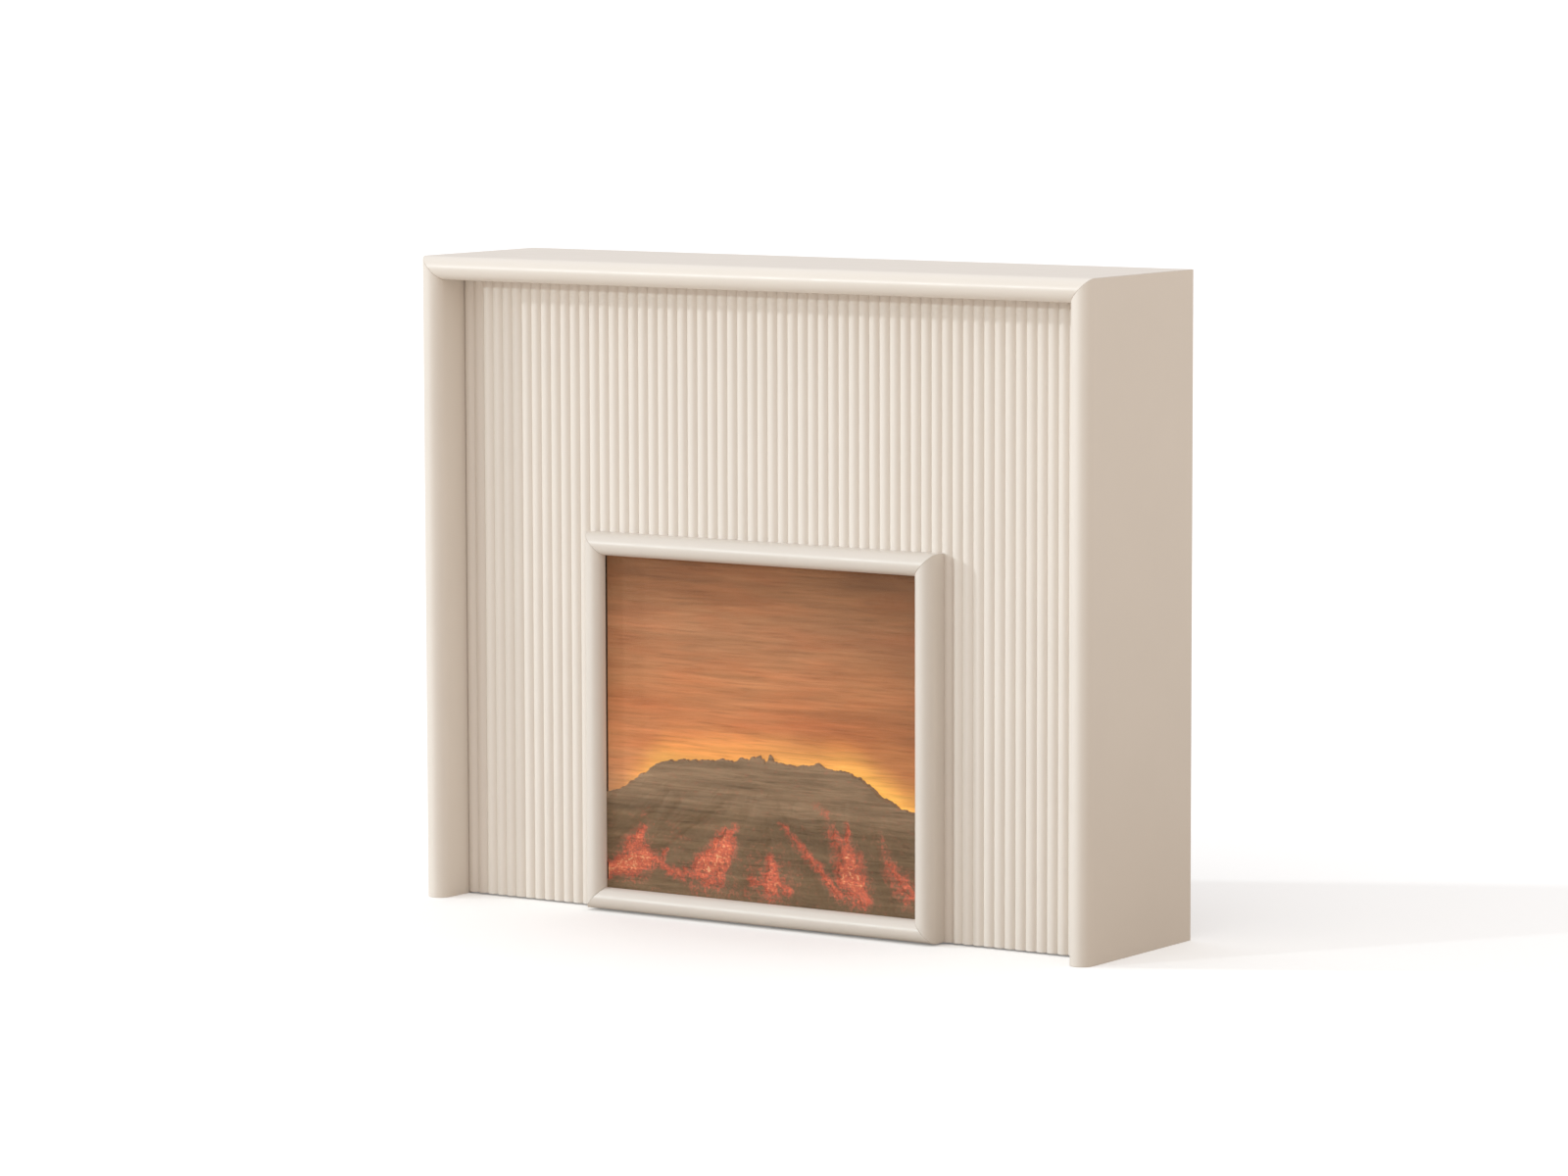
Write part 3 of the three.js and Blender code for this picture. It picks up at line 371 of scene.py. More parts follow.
def raw_board():
    made = Surface("raw_board", (0.49, 0.33, 0.18), 0.8)
    chips = made.spots(260, stretch=(1, 1, 1.6), output="Color")
    made.link(made.mix(made.fit(chips, 0.1, 0.9), (0.36, 0.23, 0.12), (0.58, 0.41, 0.24)), "Base Color")
    made.bump(made.spots(260, stretch=(1, 1, 1.6)), 0.2, 0.4 * MM)
    return made.material


def hardboard():
    made = Surface("hardboard", (0.2, 0.11, 0.05), 0.7)
    fibres = made.noise(240, 6, 0.7, 1.5)
    made.link(made.ramp(fibres, (0.3, (0.15, 0.082, 0.038)), (0.7, (0.26, 0.15, 0.073))), "Base Color")
    made.link(made.fit(made.noise(60), 0.3, 0.7, 0.6, 0.78), "Roughness")
    made.bump(fibres, 0.12, 0.3 * MM)
    return made.material


def metal(name, colour, roughness, scale=30, stretch=(1, 1, 1), metallic=1.0, grain=0.06):
    made = Surface(name, colour, roughness, metallic)
    varied(made, colour, 0.08, scale, stretch)
    scratches = made.noise(scale * 12, 3, stretch=stretch)
    made.link(made.fit(scratches, 0.3, 0.7, roughness * 0.85, roughness * 1.15), "Roughness")
    made.bump(scratches, grain, 0.1 * MM)
    return made.material


def zinc_steel():
    colour = (0.42, 0.43, 0.43)
    made = Surface("zinc_steel", colour, 0.35, 1.0)
    spangle = made.spots(90, output="Color")
    made.link(made.mix(made.fit(spangle, 0, 1), (0.36, 0.37, 0.37), (0.5, 0.51, 0.51)), "Base Color")
    made.link(made.fit(made.noise(160), 0.3, 0.7, 0.28, 0.42), "Roughness")
    return made.material


def moulded(name, colour, roughness, scale=1400, depth=0.12):
    """Fine texture of moulded plastic, rubber or powder coat."""
    made = Surface(name, colour, roughness)
    varied(made, colour, 0.15, 20)
    made.link(made.fit(made.noise(50), 0.3, 0.7, roughness * 0.9, min(1, roughness * 1.1)), "Roughness")
    made.bump(made.noise(scale, 2), depth, 0.2 * MM)
    return made.material


def circuit_board():
    made = Surface("circuit_board", (0.012, 0.1, 0.04), 0.4)
    tracks = made.spots(120, "DISTANCE_TO_EDGE", (1, 0.2, 1))
    made.link(made.ramp(tracks, (0.0, (0.03, 0.2, 0.08)), (0.08, (0.012, 0.1, 0.04))), "Base Color")
    return made.material


def window_glass():
    """Clear pane: mostly see-through, with a faint warm veil that is a painted reflection."""
    # Painted reflection: a faint warm veil over the pane.
    reflection_veil = (0.36, 0.25, 0.16)
    made = Surface("window_glass", reflection_veil, 0.08)
    varied(made, reflection_veil, 0.1, 8)
    made.set("Alpha", 0.05)
    made.set("IOR", 1.5)
    return made.material


# ---- The flame picture ----
NOISE_SEED = 7
noise.seed_set(NOISE_SEED)  # noise_vector depends on it; unset, it comes from the clock

# Glowing strokes in the log pile: X, Z and half width at each end, and how strongly they glow.
EMBERS = [
    (-248, 48, 9, -190, 70, 18, 1.1),
    (-206, 82, 13, -186, 108, 5, 0.9),
    (-186, 76, 5, -130, 52, 7, 0.85),
    (-160, 68, 6, -153, 86, 3, 0.75),
    (-124, 58, 6, -72, 48, 9, 0.85),
    (-108, 62, 9, -56, 110, 9, 1.0),
    (-70, 50, 9, -50, 100, 8, 0.85),
    (-86, 66, 14, -62, 92, 14, 1.05),
    (-60, 108, 7, -44, 120, 4, 0.55),
    (8, 54, 17, 8, 84, 6, 0.95),
    (-20, 56, 6, 32, 48, 8, 0.8),
    (0, 60, 26, 20, 60, 26, 0.4),
    (26, 130, 3, 60, 98, 5, 0.7),
    (60, 98, 5, 110, 48, 7, 0.85),
    (92, 148, 5, 104, 118, 8, 0.55),
    (122, 134, 4, 122, 110, 8, 0.75),
    (104, 122, 8, 124, 92, 14, 0.85),
    (122, 96, 14, 134, 62, 19, 1.0),
    (112, 78, 8, 120, 62, 9, 1.05),
    (132, 60, 18, 150, 46, 10, 0.9),
    (140, 100, 8, 145, 80, 9, 0.7),
    (173, 128, 4, 184, 88, 6, 0.45),
    (186, 90, 8, 212, 62, 15, 0.75),
    (214, 62, 10, 235, 52, 8, 0.6),
    (-184, 132, 6, -178, 118, 7, 0.3),
    (-135, 112, 7, -125, 98, 8, 0.28),
    (-112, 38, 8, -90, 34, 6, 0.35),
    (-60, 44, 10, -20, 38, 6, 0.3),
    (80, 160, 5, 92, 146, 6, 0.35),
]
# Strength of the yellow rim above the crest, from X in millimetres.
RIM_STRENGTH = [
    (-245, 0.0), (-220, 0.12), (-180, 0.65), (-120, 0.5), (0, 0.45),
    (80, 0.5), (150, 1.0), (195, 1.1), (245, 0.45),
]  # fmt: skip
# In metres: the heights between which the sky's shades are laid out, and how far the rim reaches up.
SKY_FOOT = 0.20
SKY_HEAD = 0.46
RIM_HEIGHT = 0.046
STROKE_CORE = 0.3  # a stroke glows fully up to this share of its half width
STROKE_EDGE = 2.0  # and fades out to nothing here
OPEN_AT = 0.7  # the log pile is open where the glow is stronger than this
GLOW_AT_VERTEX = "ember_glow"  # vertex attribute that holds the strength of the glow

REACH = 245  # the picture's colours are laid out this far to each side, in millimetres
# Top edge of the log pile as X and Z, in millimetres.
CREST = [
    (-245, 151), (-222, 155), (-194, 172), (-158, 196), (-125, 199), (-70, 203), (-30, 206),
    (5, 207), (45, 204), (80, 206), (116, 204), (140, 196), (165, 182), (205, 161), (245, 155),
]  # fmt: skip
# Twig ends above the crest: X, height and half width.
TWIGS = [
    (-34, 3, 9), (-19, 4, 6), (-12, 6, 3.5), (-8, 9, 2.6), (-4, 5, 2.2), (1.5, -6, 2.4),
    (7, 9, 2.4), (10, 6, 3), (15, 3, 5), (52, 2, 5), (80, 3, 9), (-190, 3, 6),
]  # fmt: skip
# Logs as the two ends of their middles, X and Z, and their radius.
LOGS = [
    (-262, 118, -150, 178, 22), (-245, 96, -160, 160, 16), (-172, 96, -60, 170, 18),
    (-160, 180, 40, 188, 24), (-60, 20, 5, 150, 22), (5, 150, 84, 22, 18),
    (20, 182, 172, 176, 26), (56, 150, 104, 92, 14), (150, 172, 250, 128, 20),
    (136, 160, 182, 20, 20), (190, 150, 260, 96, 15), (-140, 150, -168, 96, 12),
]  # fmt: skip

HORIZON = srgb(232, 148, 90)
LOWER = srgb(207, 130, 82)
MIDDLE = srgb(205, 137, 91)
UPPER = srgb(186, 129, 90)
HIGH = srgb(159, 107, 71)
DARK_TOP = srgb(127, 83, 54)
GLOW = tuple(1.35 * c for c in srgb(255, 190, 92))  # brighter than paint: it is lit from behind
PEACH = srgb(222, 158, 112)
WHITE = (1, 1, 1)
REDDENED = (1.05, 0.9, 0.86)
LOG_LIGHT = srgb(146, 120, 94)
LOG_DARK = srgb(117, 95, 71)
EMBER_SHADE = srgb(140, 100, 80)
EMBER_DULL = srgb(186, 110, 88)
EMBER_RED = srgb(218, 100, 80)
EMBER_ORANGE = srgb(236, 124, 88)
EMBER_HOT = srgb(255, 188, 138)


@functools.cache
def ember_strength(across, up):
    """How strongly the pile glows at a point in millimetres, from 0 to 1, with ragged edges."""
    ragged = 4.5 * noise.noise_vector(Vector((across / 13, up / 13, 2.0)))
    ragged += 2.2 * noise.noise_vector(Vector((across / 4.5, up / 4.5, 5.0)))
    across += ragged.x
    up += ragged.y
    total = 0.0
    for x0, z0, half0, x1, z1, half1, strength in EMBERS:
        run_x, run_z = x1 - x0, z1 - z0
        t = ((across - x0) * run_x + (up - z0) * run_z) / (run_x**2 + run_z**2)
        t = min(1, max(0, t))
        away = math.hypot(across - x0 - run_x * t, up - z0 - run_z * t)
        radius = away / (half0 + (half1 - half0) * t)
        fade = (STROKE_EDGE - radius) / (STROKE_EDGE - STROKE_CORE)
        total = max(total, strength * min(1, max(0, fade)))
    return total


def store_heat(made):
    """Keep the strength of the glow at each vertex, for the material to read."""
    heat = made.data.attributes.new(GLOW_AT_VERTEX, "FLOAT", "POINT")
    values = [ember_strength(v.co.x / MM, v.co.z / MM) for v in made.data.vertices]
    heat.data.foreach_set("value", values)


def grey(made, value):
    return made.node("CombineColor", {0: value, 1: value, 2: value}).outputs[0]


def reflected_grain(made, colour, depth=1.0):
    """The colour with long, nearly level streaks of wood grain: a painted reflection in the glass."""
    broad = made.noise(1.0, 4, 0.6, 0.5, (4, 1, 60))
    broad = made.fit(broad, 0.34, 0.66, 1 - 0.15 * depth, 1 + 0.12 * depth)
    fine = made.noise(1.0, 3, 0.6, 0.4, (8, 1, 190))
    fine = made.fit(fine, 0.34, 0.66, 1 - 0.13 * depth, 1 + 0.09 * depth)
    hairs = made.noise(1.0, 3, 0.5, 0.3, (22, 1, 420))
    hairs = made.fit(hairs, 0.54, 0.7, 1.0, 1 - 0.2 * depth)
    streaks = made.maths("MULTIPLY", made.maths("MULTIPLY", broad, fine), hairs)
    return made.mix(1.0, colour, grey(made, streaks), "MULTIPLY")


def glowing(name, colour, light, diffuse, roughness):
    """A surface whose picture shows mostly by its own light."""
    made = Surface(name, (0.5, 0.5, 0.5), roughness)
    shown = colour(made)
    made.link(made.mix(1.0, shown, (diffuse,) * 3, "MULTIPLY"), "Base Color")
    made.link(shown, "Emission Color")
    made.set("Emission Strength", light)
    made.set("Specular IOR Level", 0.1)
    return made


def along_crest(made, x, values):
    """A value that follows X, from pairs of X in millimetres and value."""
    stops = [((at + REACH) / (2 * REACH), (value,) * 3) for at, value in values]
    shades = made.ramp(made.fit(x, -REACH * MM, REACH * MM), *stops)
    return made.node("SeparateColor", {0: shades}).outputs[0]


def screen_colour(made):
    """The amber sky: shades by height, darker to the sides, peach low on the left, a rim on the pile."""
    split = made.node("SeparateXYZ", {"Vector": made.node("TexCoord").outputs["Object"]})
    x, z = split.outputs["X"], split.outputs["Z"]
    drift = made.fit(made.noise(1.0, 3, 0.5, 0.0, (5, 1, 14)), 0.3, 0.7, -0.018, 0.018)
    level = made.fit(made.maths("ADD", z, drift), SKY_FOOT, SKY_HEAD)
    shades = (0.0, HORIZON), (0.1, HORIZON), (0.2, LOWER), (0.38, MIDDLE), (0.64, UPPER), (0.84, HIGH)
    base = made.ramp(level, *shades, (1.0, DARK_TOP))
    edges = (0.0, (0.92,) * 3), (0.2, (1,) * 3), (0.55, (1,) * 3), (1.0, (0.66,) * 3)
    side = made.ramp(made.fit(x, -REACH * MM, REACH * MM), *edges)
    shaded = made.mix(1.0, base, side, "MULTIPLY")
    left = made.fit(x, -REACH * MM, -0.15, 0.9, 0.0)
    low = made.fit(z, 0.17, 0.28, 1.0, 0.0)
    shaded = made.mix(made.maths("MULTIPLY", left, low), shaded, PEACH)
    tallest = 250  # a colour ramp only holds 0 to 1, so heights go through it as shares of this
    shares = [(at, height / tallest) for at, height in CREST]
    crest = made.maths("MULTIPLY", along_crest(made, x, shares), tallest * MM)
    above = made.maths("SUBTRACT", z, crest)
    strength = along_crest(made, x, RIM_STRENGTH)
    rim = made.maths("POWER", made.fit(above, 0.0, RIM_HEIGHT, 1.0, 0.0), 1.6)
    shaded = made.mix(made.maths("MULTIPLY", rim, strength), shaded, GLOW)
    bands = made.noise(1.0, 4, 0.6, 0.4, (6, 1, 34))
    tint = made.mix(made.fit(bands, 0.42, 0.7), WHITE, REDDENED)
    return reflected_grain(made, made.mix(1.0, shaded, tint, "MULTIPLY"))


def burning(made, base):
    """The colour with fire over it, speckled, where the pile glows."""
    strength = made.node("Attribute", attribute_name=GLOW_AT_VERTEX).outputs["Fac"]
    fine = made.fit(made.noise(380, 4, 0.7, 0.6), 0.3, 0.7, -0.5, 0.5)
    coarse = made.fit(made.noise(130, 4, 0.6, 0.8), 0.3, 0.7, -0.5, 0.5)
    grit = made.maths("ADD", made.maths("MULTIPLY", fine, 0.65), made.maths("MULTIPLY", coarse, 0.5))
    cover = made.maths("ADD", strength, made.maths("MULTIPLY", grit, 1.2))
    cover = made.fit(cover, 0.08, 0.95, 0.0, 0.92)
    veins = made.fit(made.spots(70, "DISTANCE_TO_EDGE", (1, 1, 1.3)), 0.0, 0.07, 0.22, 0.0)
    heat = made.maths("MULTIPLY", strength, made.maths("ADD", veins, 0.62))
    heat = made.maths("ADD", heat, made.maths("MULTIPLY", grit, 0.95))
    dull = (0.1, EMBER_SHADE), (0.32, EMBER_DULL)
    bright = (0.55, EMBER_RED), (0.8, EMBER_ORANGE), (1.0, EMBER_HOT)
    return made.mix(cover, base, made.ramp(heat, *dull, *bright))


def log_colour(made):
    """Bark, darker at the foot and in one long line as painted shade, darker to the right, fire over it.
    """
    split = made.node("SeparateXYZ", {"Vector": made.node("TexCoord").outputs["Object"]})
    x, z = split.outputs["X"], split.outputs["Z"]
    wave = made.fit(made.noise(9, 3), 0.3, 0.7, -0.004, 0.004)
    level = made.maths("ADD", z, wave)
    mottle = made.fit(made.noise(30, 5, 0.6), 0.3, 0.7, -0.3, 0.3)
    # Painted shade: the logs below the closed-up mass are darker.
    bark = made.mix(made.maths("ADD", made.fit(level, 0.126, 0.15), mottle), LOG_DARK, LOG_LIGHT)
    bark = made.mix(1.0, bark, grey(made, made.fit(x, -0.05, 0.23, 1.06, 0.9)), "MULTIPLY")
    # Painted shade: a thin dark line where the upper logs close up.
    shade_line_height = 0.137
    shade_line = made.maths("ABSOLUTE", made.maths("SUBTRACT", level, shade_line_height))
    bark = made.mix(1.0, bark, grey(made, made.fit(shade_line, 0.0004, 0.003, 0.82, 1.0)), "MULTIPLY")
    return reflected_grain(made, burning(made, bark), 1.5)


def ember_colour(made):
    return reflected_grain(made, burning(made, LOG_DARK), 1.3)


CREAM = cream_paint("cream_paint")
# Painted shade: the frame is the mantel's cream paint, darkened.
FRAME_CREAM_SHADED = cream_paint("frame_paint_shaded", 0.91)
RAW_BOARD = raw_board()
HARDBOARD = hardboard()
GLASS = window_glass()
BLACK_STEEL = moulded("black_steel", (0.02, 0.019, 0.018), 0.5, 1600, 0.25)
ZINC = zinc_steel()
BLACK_PLASTIC = moulded("black_plastic", (0.016, 0.016, 0.016), 0.5)
RUBBER = moulded("black_rubber", (0.012, 0.012, 0.012), 0.85, 900, 0.2)
CIRCUIT = circuit_board()
MIRROR_FOIL = metal("mirror_foil", (0.8, 0.8, 0.78), 0.1, 40, grain=0.02)
ALUMINIUM = metal("aluminium", (0.6, 0.61, 0.62), 0.35, 25, (0.1, 1, 1))
MOTOR_STEEL = metal("motor_steel", (0.05, 0.05, 0.054), 0.4, 20, metallic=0.7)
BRONZE = metal("bronze", (0.42, 0.2, 0.07), 0.45, 60)
SCREEN = glowing("flame_screen", screen_colour, 0.62, 0.35, 0.5).material
# Painted light: the bark glows by its own light, though the logs are no lamp.
BARK = glowing("log_bark", log_colour, 0.56, 0.47, 0.8)
BARK.bump(BARK.noise(220, 5, 0.65, stretch=(1, 1, 2.5)), 0.35, 1.2 * MM)
COALS = glowing("ember_coals", ember_colour, 0.6, 0.43, 0.7)
COALS.bump(COALS.noise(180, 5, 0.6), 0.4, 1.5 * MM)


# ---- Mantel ----
def mantel_boards():
    section = half_round_section(TOP_LO.y, TOP_HI.y, BOARD)
    left, right, under, foot = LEFT_HI.x, RIGHT_LO.x, TOP_LO.z, LEFT_LO.z
    wide, tall = right - left, under - foot
    for name, node, corner, along, out, length, mitres in (
        ("shelf", "top_board", (left, under), (1, 0), (0, 1), wide, (True, True)),
        ("left_side", "side_board_left", (left, foot), (0, 1), (-1, 0), tall, (False, True)),
        ("right_side", "side_board_right", (right, under), (0, -1), (1, 0), tall, (True, False)),
    ):
        mitred_bar(name, node, corner, along, out, length, section, mitres, CREAM)


def picture_frame():
    section = half_round_section(RAIL_LO.y, RAIL_HI.y, MOULDING, REBATE)
    left, right = MOULDING - STILE_HI.x, STILE_HI.x - MOULDING
    bottom, top = SILL_LO.z + MOULDING, RAIL_HI.z - MOULDING
    wide, tall = right - left, top - bottom
    for name, node, corner, along, out, length in (
        ("top_moulding", "frame_top_rail", (left, top), (1, 0), (0, 1), wide),
        ("right_moulding", "frame_right_stile", (right, top), (0, -1), (1, 0), tall),
        ("bottom_moulding", "frame_bottom_rail", (right, bottom), (-1, 0), (0, -1), wide),
        ("left_moulding", "frame_left_stile", (left, bottom), (0, 1), (-1, 0), tall),
    ):
        mitred_bar(name, node, corner, along, out, length, section, (True, True), FRAME_CREAM_SHADED)


def fluted_front():
    """Convex flutes side by side, cut away round the picture frame."""
    pitch = (PANEL_HI.x - PANEL_LO.x) / FLUTES
    radius = (FLUTE_RISE**2 + (pitch / 2) ** 2) / (2 * FLUTE_RISE)
    crown = PANEL_LO.y
    facets = 14
    cut_x = STILE_HI.x + 0.02 * MM
    cut_z = RAIL_HI.z + 0.02 * MM

    def depth(x):
        across = (x - PANEL_LO.x) / pitch
        from_crown = (across - math.floor(across) - 0.5) * pitch
        return crown + radius - math.sqrt(radius**2 - from_crown**2)

    xs = [PANEL_LO.x + pitch * i / facets for i in range(FLUTES * facets + 1)]
    xs = sorted(xs + [-cut_x, cut_x])
    levels = [PANEL_LO.z, cut_z, PANEL_HI.z]
    points = {(c, r): (x, z) for c, x in enumerate(xs) for r, z in enumerate(levels)}
    cells = {(c, 1) for c in range(len(xs) - 1)}
    cells |= {(c, 0) for c in range(len(xs) - 1) if abs(xs[c] + xs[c + 1]) / 2 > cut_x}
    vertices, faces = slab(points, cells, lambda x, z: min(depth(x), crown + FLUTE_RISE), PANEL_HI.y)
    piece("fluted_front", vertices, faces, CREAM, CASING, "cream_paint", "fluted_panel", crease=40)


# ---- Shapes of the flame picture ----
MASS_FOOT = 136  # above this height the logs close up into one mass
FOOT_BAR = 40


def crest_height(x):
    """Height of the pile's top edge at x, in metres."""
    across = x / MM
    for (x0, z0), (x1, z1) in zip(CREST, CREST[1:]):
        if across <= x1 or (x1, z1) == CREST[-1]:
            t = min(1, max(0, (across - x0) / (x1 - x0)))
            height = z0 + (z1 - z0) * t
            break
    ragged = 3.2 * noise.noise(Vector((across / 11, 0.3, 0)))
    ragged += 2.6 * noise.noise(Vector((across / 3, 3.7, 0)))
    for centre, rise, half in TWIGS:
        ragged += rise * max(0, 1 - abs(across - centre) / half)
    return (height + ragged) * MM


def log_depth(x, z):
    """Front of the log relief at (x, z): round logs with bark, rounded off at the ember holes."""
    across, up = x / MM, z / MM
    closed = min(1, max(0, (up - MASS_FOOT) / 10))
    foot = min(1, max(0, (FOOT_BAR - up) / 6))
    bulge = 0.3 + 0.15 * max(closed, foot)
    grain_at = Vector((across / 5, up / 5, 0))
    for x0, z0, x1, z1, radius in LOGS:
        run = Vector((x1 - x0, z1 - z0))
        along = Vector((across - x0, up - z0)).dot(run) / run.length_squared
        t = min(1, max(0, along))
        away = math.hypot(across - x0 - run.x * t, up - z0 - run.y * t)
        away += 2.2 * noise.noise(Vector((across / 14, up / 14, radius)))
        height = math.sqrt(max(0, 1 - (away / radius) ** 2))
        if height > bulge:
            bulge = height
            grain_at = Vector((along * run.length / 16, away / 2.6, radius))
    bark = 0.9 * noise.fractal(grain_at, 1.0, 2.0, 3) + 0.4 * noise.noise(Vector((across / 2, up / 2, 8)))
    near_hole = min(1, ember_strength(across, up) / OPEN_AT)
    rounded = math.sqrt(max(0, 1 - near_hole**2))
    thickness = (1.2 + (LOG_THICK / MM - 2.4) * bulge * (0.35 + 0.65 * rounded) + bark * rounded) * MM
    return LOG_HI.y - min(LOG_THICK, max(0.8 * MM, thickness))


def ember_depth(x, z):
    """Lumps of coal that stand forward only inside the holes of the log pile."""
    lumps = abs(noise.fractal(Vector((x / MM / 9, z / MM / 9, 5.0)), 0.9, 2.1, 4))
    inside = min(1, max(0, (ember_strength(x / MM, z / MM) - OPEN_AT - 0.05) / 0.25))
    return EMBER_LO.y - min(2.6, 3.4 * lumps) * inside * MM


def ease_to_edge(across, up):
    """The nearby point, in millimetres, where the glow is just strong enough for an open hole."""
    step = 0.2
    for _ in range(3):
        here = ember_strength(across, up)
        slope_x = (ember_strength(across + step, up) - here) / step
        slope_z = (ember_strength(across, up + step) - here) / step
        steep = slope_x**2 + slope_z**2
        if steep < 1e-6:
            break
        pull = (OPEN_AT - here) / steep
        limit = 0.7 / max(0.7, abs(pull) * math.sqrt(steep))
        across += slope_x * pull * limit
        up += slope_z * pull * limit
    return across, up


def log_pile():
    """The logs as one relief with open holes where the embers show."""
    columns = grid(LOG_LO.x, LOG_HI.x, LOG_LO.z, crest_height, 1.7 * MM)
    rows = len(columns[0])

    def is_open(c, r):
        corners = [columns[i][j] for i in (c, c + 1) for j in (r, r + 1)]
        x = sum(p[0] for p in corners) / 4
        z = sum(p[1] for p in corners) / 4
        return ember_strength(x / MM, z / MM) > OPEN_AT

    cells = {(c, r) for c in range(len(columns) - 1) for r in range(rows - 1) if not is_open(c, r)}
    points = {}
    for c in range(len(columns)):
        for r in range(rows):
            around = [(c - 1, r - 1), (c - 1, r), (c, r - 1), (c, r)]
            inside = 0 < c < len(columns) - 1 and 0 < r < rows - 1
            x, z = columns[c][r]
            if inside and 0 < sum(cell in cells for cell in around) < 4:
                across, up = ease_to_edge(x / MM, z / MM)
                x, z = across * MM, up * MM
            points[c, r] = (x, z)
    vertices, faces = slab(points, cells, log_depth, LOG_HI.y)
    bark = BARK.material
    store_heat(piece("log_pile", vertices, faces, bark, CASING, "bark_resin", "log_set", crease=60))


def flame_picture():
    log_pile()
    coals = grid(EMBER_LO.x, EMBER_HI.x, EMBER_LO.z, EMBER_HI.z, 2.0 * MM)
    glowing_coals = COALS.material
    store_heat(
        relief("coal_bed", coals, ember_depth, EMBER_HI.y, glowing_coals, "ember_resin", "ember_bed")
    )

    def ripple(x, z):
        return SCREEN_LO.y + 0.25 * MM * (1 + math.sin(x * 70) * math.sin(z * 40)) / 2

    screen = grid(SCREEN_LO.x, SCREEN_HI.x, SCREEN_LO.z, SCREEN_HI.z, 10 * MM)
    relief("glow_screen", screen, ripple, SCREEN_HI.y, SCREEN, "screen_acrylic", "flame_screen")


# ---- The rest of the CAD pieces, with rounded edges and their finishes ----
FINISHES = [
    ("base_board", CASING, RAW_BOARD, "raw_board", 0.5),
    ("front_batten_left", CASING, RAW_BOARD, "raw_board", 0.8),
    ("front_batten_right", CASING, RAW_BOARD, "raw_board", 0.8),
    ("rear_batten_left", CASING, RAW_BOARD, "raw_board", 0.8),
    ("rear_batten_right", CASING, RAW_BOARD, "raw_board", 0.8),
    ("top_batten_front", CASING, RAW_BOARD, "raw_board", 0.8),
    ("top_batten_rear", CASING, RAW_BOARD, "raw_board", 0.8),
    ("back_panel", CASING, HARDBOARD, "hardboard", 0.4),
    ("glass_gasket", CASING, RUBBER, "black_rubber", 0.3),
    ("firebox_shell", CASING, BLACK_STEEL, "black_steel", 0.25),
    ("rear_cover", CASING, BLACK_STEEL, "black_steel", 0.3),
    ("outlet_grille", CASING, BLACK_STEEL, "black_steel", 0.4),
    ("floor_glide_front_left", CASING, BLACK_PLASTIC, "black_plastic", 0.4),
    ("floor_glide_front_right", CASING, BLACK_PLASTIC, "black_plastic", 0.4),
    ("floor_glide_rear_left", CASING, BLACK_PLASTIC, "black_plastic", 0.4),
    ("floor_glide_rear_right", CASING, BLACK_PLASTIC, "black_plastic", 0.4),
    ("rotor_bracket_left", CASING, ZINC, "zinc_steel", 0.2),
    ("rotor_bracket_right", CASING, ZINC, "zinc_steel", 0.2),
    ("blower_housing", CASING, ZINC, "zinc_steel", 0.2),
    ("thermal_cutout", CASING, BLACK_PLASTIC, "black_plastic", 0.3),
    ("power_switch_body", CASING, BLACK_PLASTIC, "black_plastic", 0.5),
    ("heat_switch_body", CASING, BLACK_PLASTIC, "black_plastic", 0.5),
    ("power_rocker", "power_rocker", BLACK_PLASTIC, "black_plastic", 0.5),
    ("heat_rocker", "heat_rocker", BLACK_PLASTIC, "black_plastic", 0.5),
    ("cord_gland", CASING, BLACK_PLASTIC, "black_plastic", 0.5),
    ("terminal_block", CASING, BLACK_PLASTIC, "black_plastic", 0.4),
    ("control_board", CASING, CIRCUIT, "circuit_board", 0.3),
    ("flame_light_board", CASING, CIRCUIT, "circuit_board", 0.2),
    ("ember_light_board", CASING, CIRCUIT, "circuit_board", 0.2),
    ("flame_rotor", "flame_rotor", MIRROR_FOIL, "mirror_foil", 0.0),
    ("blower_wheel", "blower_wheel", ALUMINIUM, "aluminium", 0.0),
    ("heating_element", CASING, ALUMINIUM, "aluminium", 0.0),
    ("rotor_motor", CASING, MOTOR_STEEL, "motor_steel", 0.4),
    ("blower_motor", CASING, MOTOR_STEEL, "motor_steel", 0.4),
    ("rotor_bush", CASING, BRONZE, "bronze", 0.3),
    ("blower_bush", CASING, BRONZE, "bronze", 0.3),
]


def finished_nodes():
    for node, body, material, slot, edge in FINISHES:
        refined(node, body, material, slot, edge * MM)
    for kind in ("cover_screw", "insert_screw"):
        for number in range(1, 5):
            refined(f"{kind}_{number}", CASING, ZINC, "zinc_steel", 0.35 * MM)
    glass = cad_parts["glass_pane"]
    glass.data.materials.clear()
    glass.data.materials.append(GLASS)
    glass.visible_shadow = False


# ---- Floor, lights and camera ----
def plane(name, size, height, surface):
    mesh = bpy.data.meshes.new(name)
    corners = [(-1, -1), (1, -1), (1, 1), (-1, 1)]
    mesh.from_pydata([(x * size, y * size, height) for x, y in corners], [], [(0, 1, 2, 3)])
    made = bpy.data.objects.new(name, mesh)
    bpy.context.scene.collection.objects.link(made)
    surface.set("Specular IOR Level", 0.0)
    mesh.materials.append(surface.material)
    return made


def distant_light(name, strength, colour, towards):
    sun = bpy.data.lights.new(name, "SUN")
    sun.energy = strength
    sun.color = colour
    sun.angle = math.radians(LIGHT_SPREAD)
    lamp = bpy.data.objects.new(name, sun)
    lamp.rotation_euler = Vector(towards).to_track_quat("-Z", "Y").to_euler()
    bpy.context.scene.collection.objects.link(lamp)


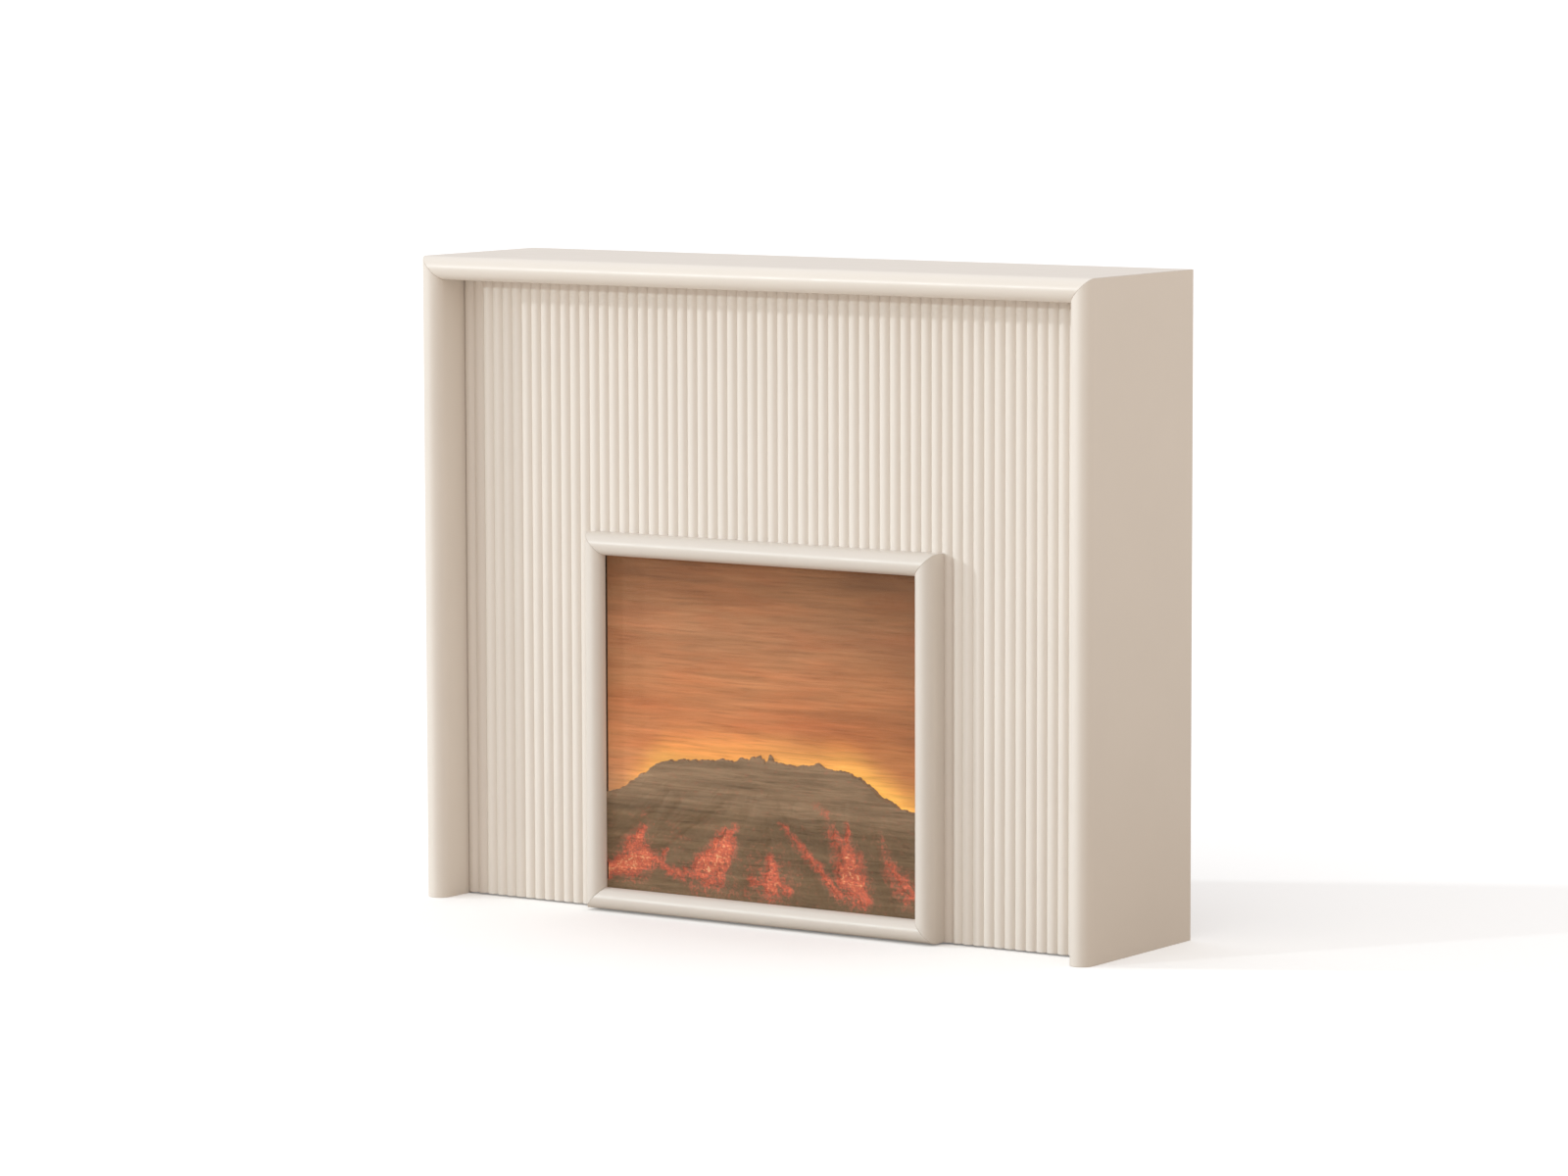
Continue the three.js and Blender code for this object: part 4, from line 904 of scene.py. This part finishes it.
def studio():
    """A pale floor for the camera, and a warmer, darker card just below it for the light it returns."""
    pale = Surface("floor_pale", (0.97, 0.97, 0.97), 0.9)
    varied(pale, (0.97, 0.97, 0.97), 0.004, 2)
    pale.set("Emission Color", (1, 1, 1, 1))
    pale.set("Emission Strength", FLOOR_GLOW)
    floor = plane("floor", 400.0, 0.0, pale)
    floor.visible_diffuse = False
    floor.visible_glossy = False
    floor.visible_shadow = False
    # Painted shadow: the card is darkest on the floor beside the right-hand board, where the object shades
    # it.
    warm = Surface("card_warm", BOUNCE, 0.9)
    beside = warm.node("Mapping", {"Vector": warm.place(), "Location": (-0.95, -0.1, 0)}).outputs["Vector"]
    away = warm.node("VectorMath", {0: beside}, operation="LENGTH").outputs["Value"]
    warm.link(warm.mix(warm.fit(away, 0.2, 1.4), BOUNCE_DARK, BOUNCE), "Base Color")
    plane("bounce_card", 400.0, -1 * MM, warm).visible_camera = False

    distant_light("key", KEY_STRENGTH, KEY_COLOUR, KEY_TOWARDS)
    distant_light("fill", FILL_STRENGTH, FILL_COLOUR, FILL_TOWARDS)

    world = bpy.data.worlds.new("studio")
    world.use_nodes = True
    tree = world.node_tree
    split = tree.nodes.new("ShaderNodeSeparateXYZ")
    tree.links.new(tree.nodes.new("ShaderNodeTexCoord").outputs["Generated"], split.inputs[0])
    across = tree.nodes.new("ShaderNodeMapRange")
    across.inputs["From Min"].default_value = -0.4
    across.inputs["From Max"].default_value = 0.9
    tree.links.new(split.outputs["X"], across.inputs["Value"])
    level = tree.nodes.new("ShaderNodeMix")
    level.data_type = "RGBA"
    level.inputs[6].default_value = (*SKY_LEFT, 1)
    level.inputs[7].default_value = (*SKY_RIGHT, 1)
    tree.links.new(across.outputs["Result"], level.inputs[0])
    height = tree.nodes.new("ShaderNodeMapRange")
    height.inputs["From Max"].default_value = 0.95
    tree.links.new(split.outputs["Z"], height.inputs["Value"])
    sky = tree.nodes.new("ShaderNodeMix")
    sky.data_type = "RGBA"
    sky.inputs[7].default_value = (*SKY_TOP, 1)
    tree.links.new(height.outputs["Result"], sky.inputs[0])
    tree.links.new(level.outputs[2], sky.inputs[6])
    tree.links.new(sky.outputs[2], tree.nodes["Background"].inputs["Color"])
    bpy.context.scene.world = world
    bpy.context.scene.view_settings.view_transform = "Standard"


def camera():
    """The photograph's place, angle and lens, from a fit to the object's corners and edges in it."""
    lens = bpy.data.cameras.new("camera")
    lens.sensor_width = 36
    lens.lens = LENS
    lens.clip_start = 0.1
    lens.clip_end = 2000
    eye = bpy.data.objects.new("camera", lens)
    eye.location = EYE
    eye.rotation_euler = (math.radians(90 - LOOKS_DOWN), math.radians(ROLL), math.radians(TURN))
    bpy.context.scene.collection.objects.link(eye)
    bpy.context.scene.camera = eye


camera()
studio()
mantel_boards()
picture_frame()
fluted_front()
flame_picture()
finished_nodes()
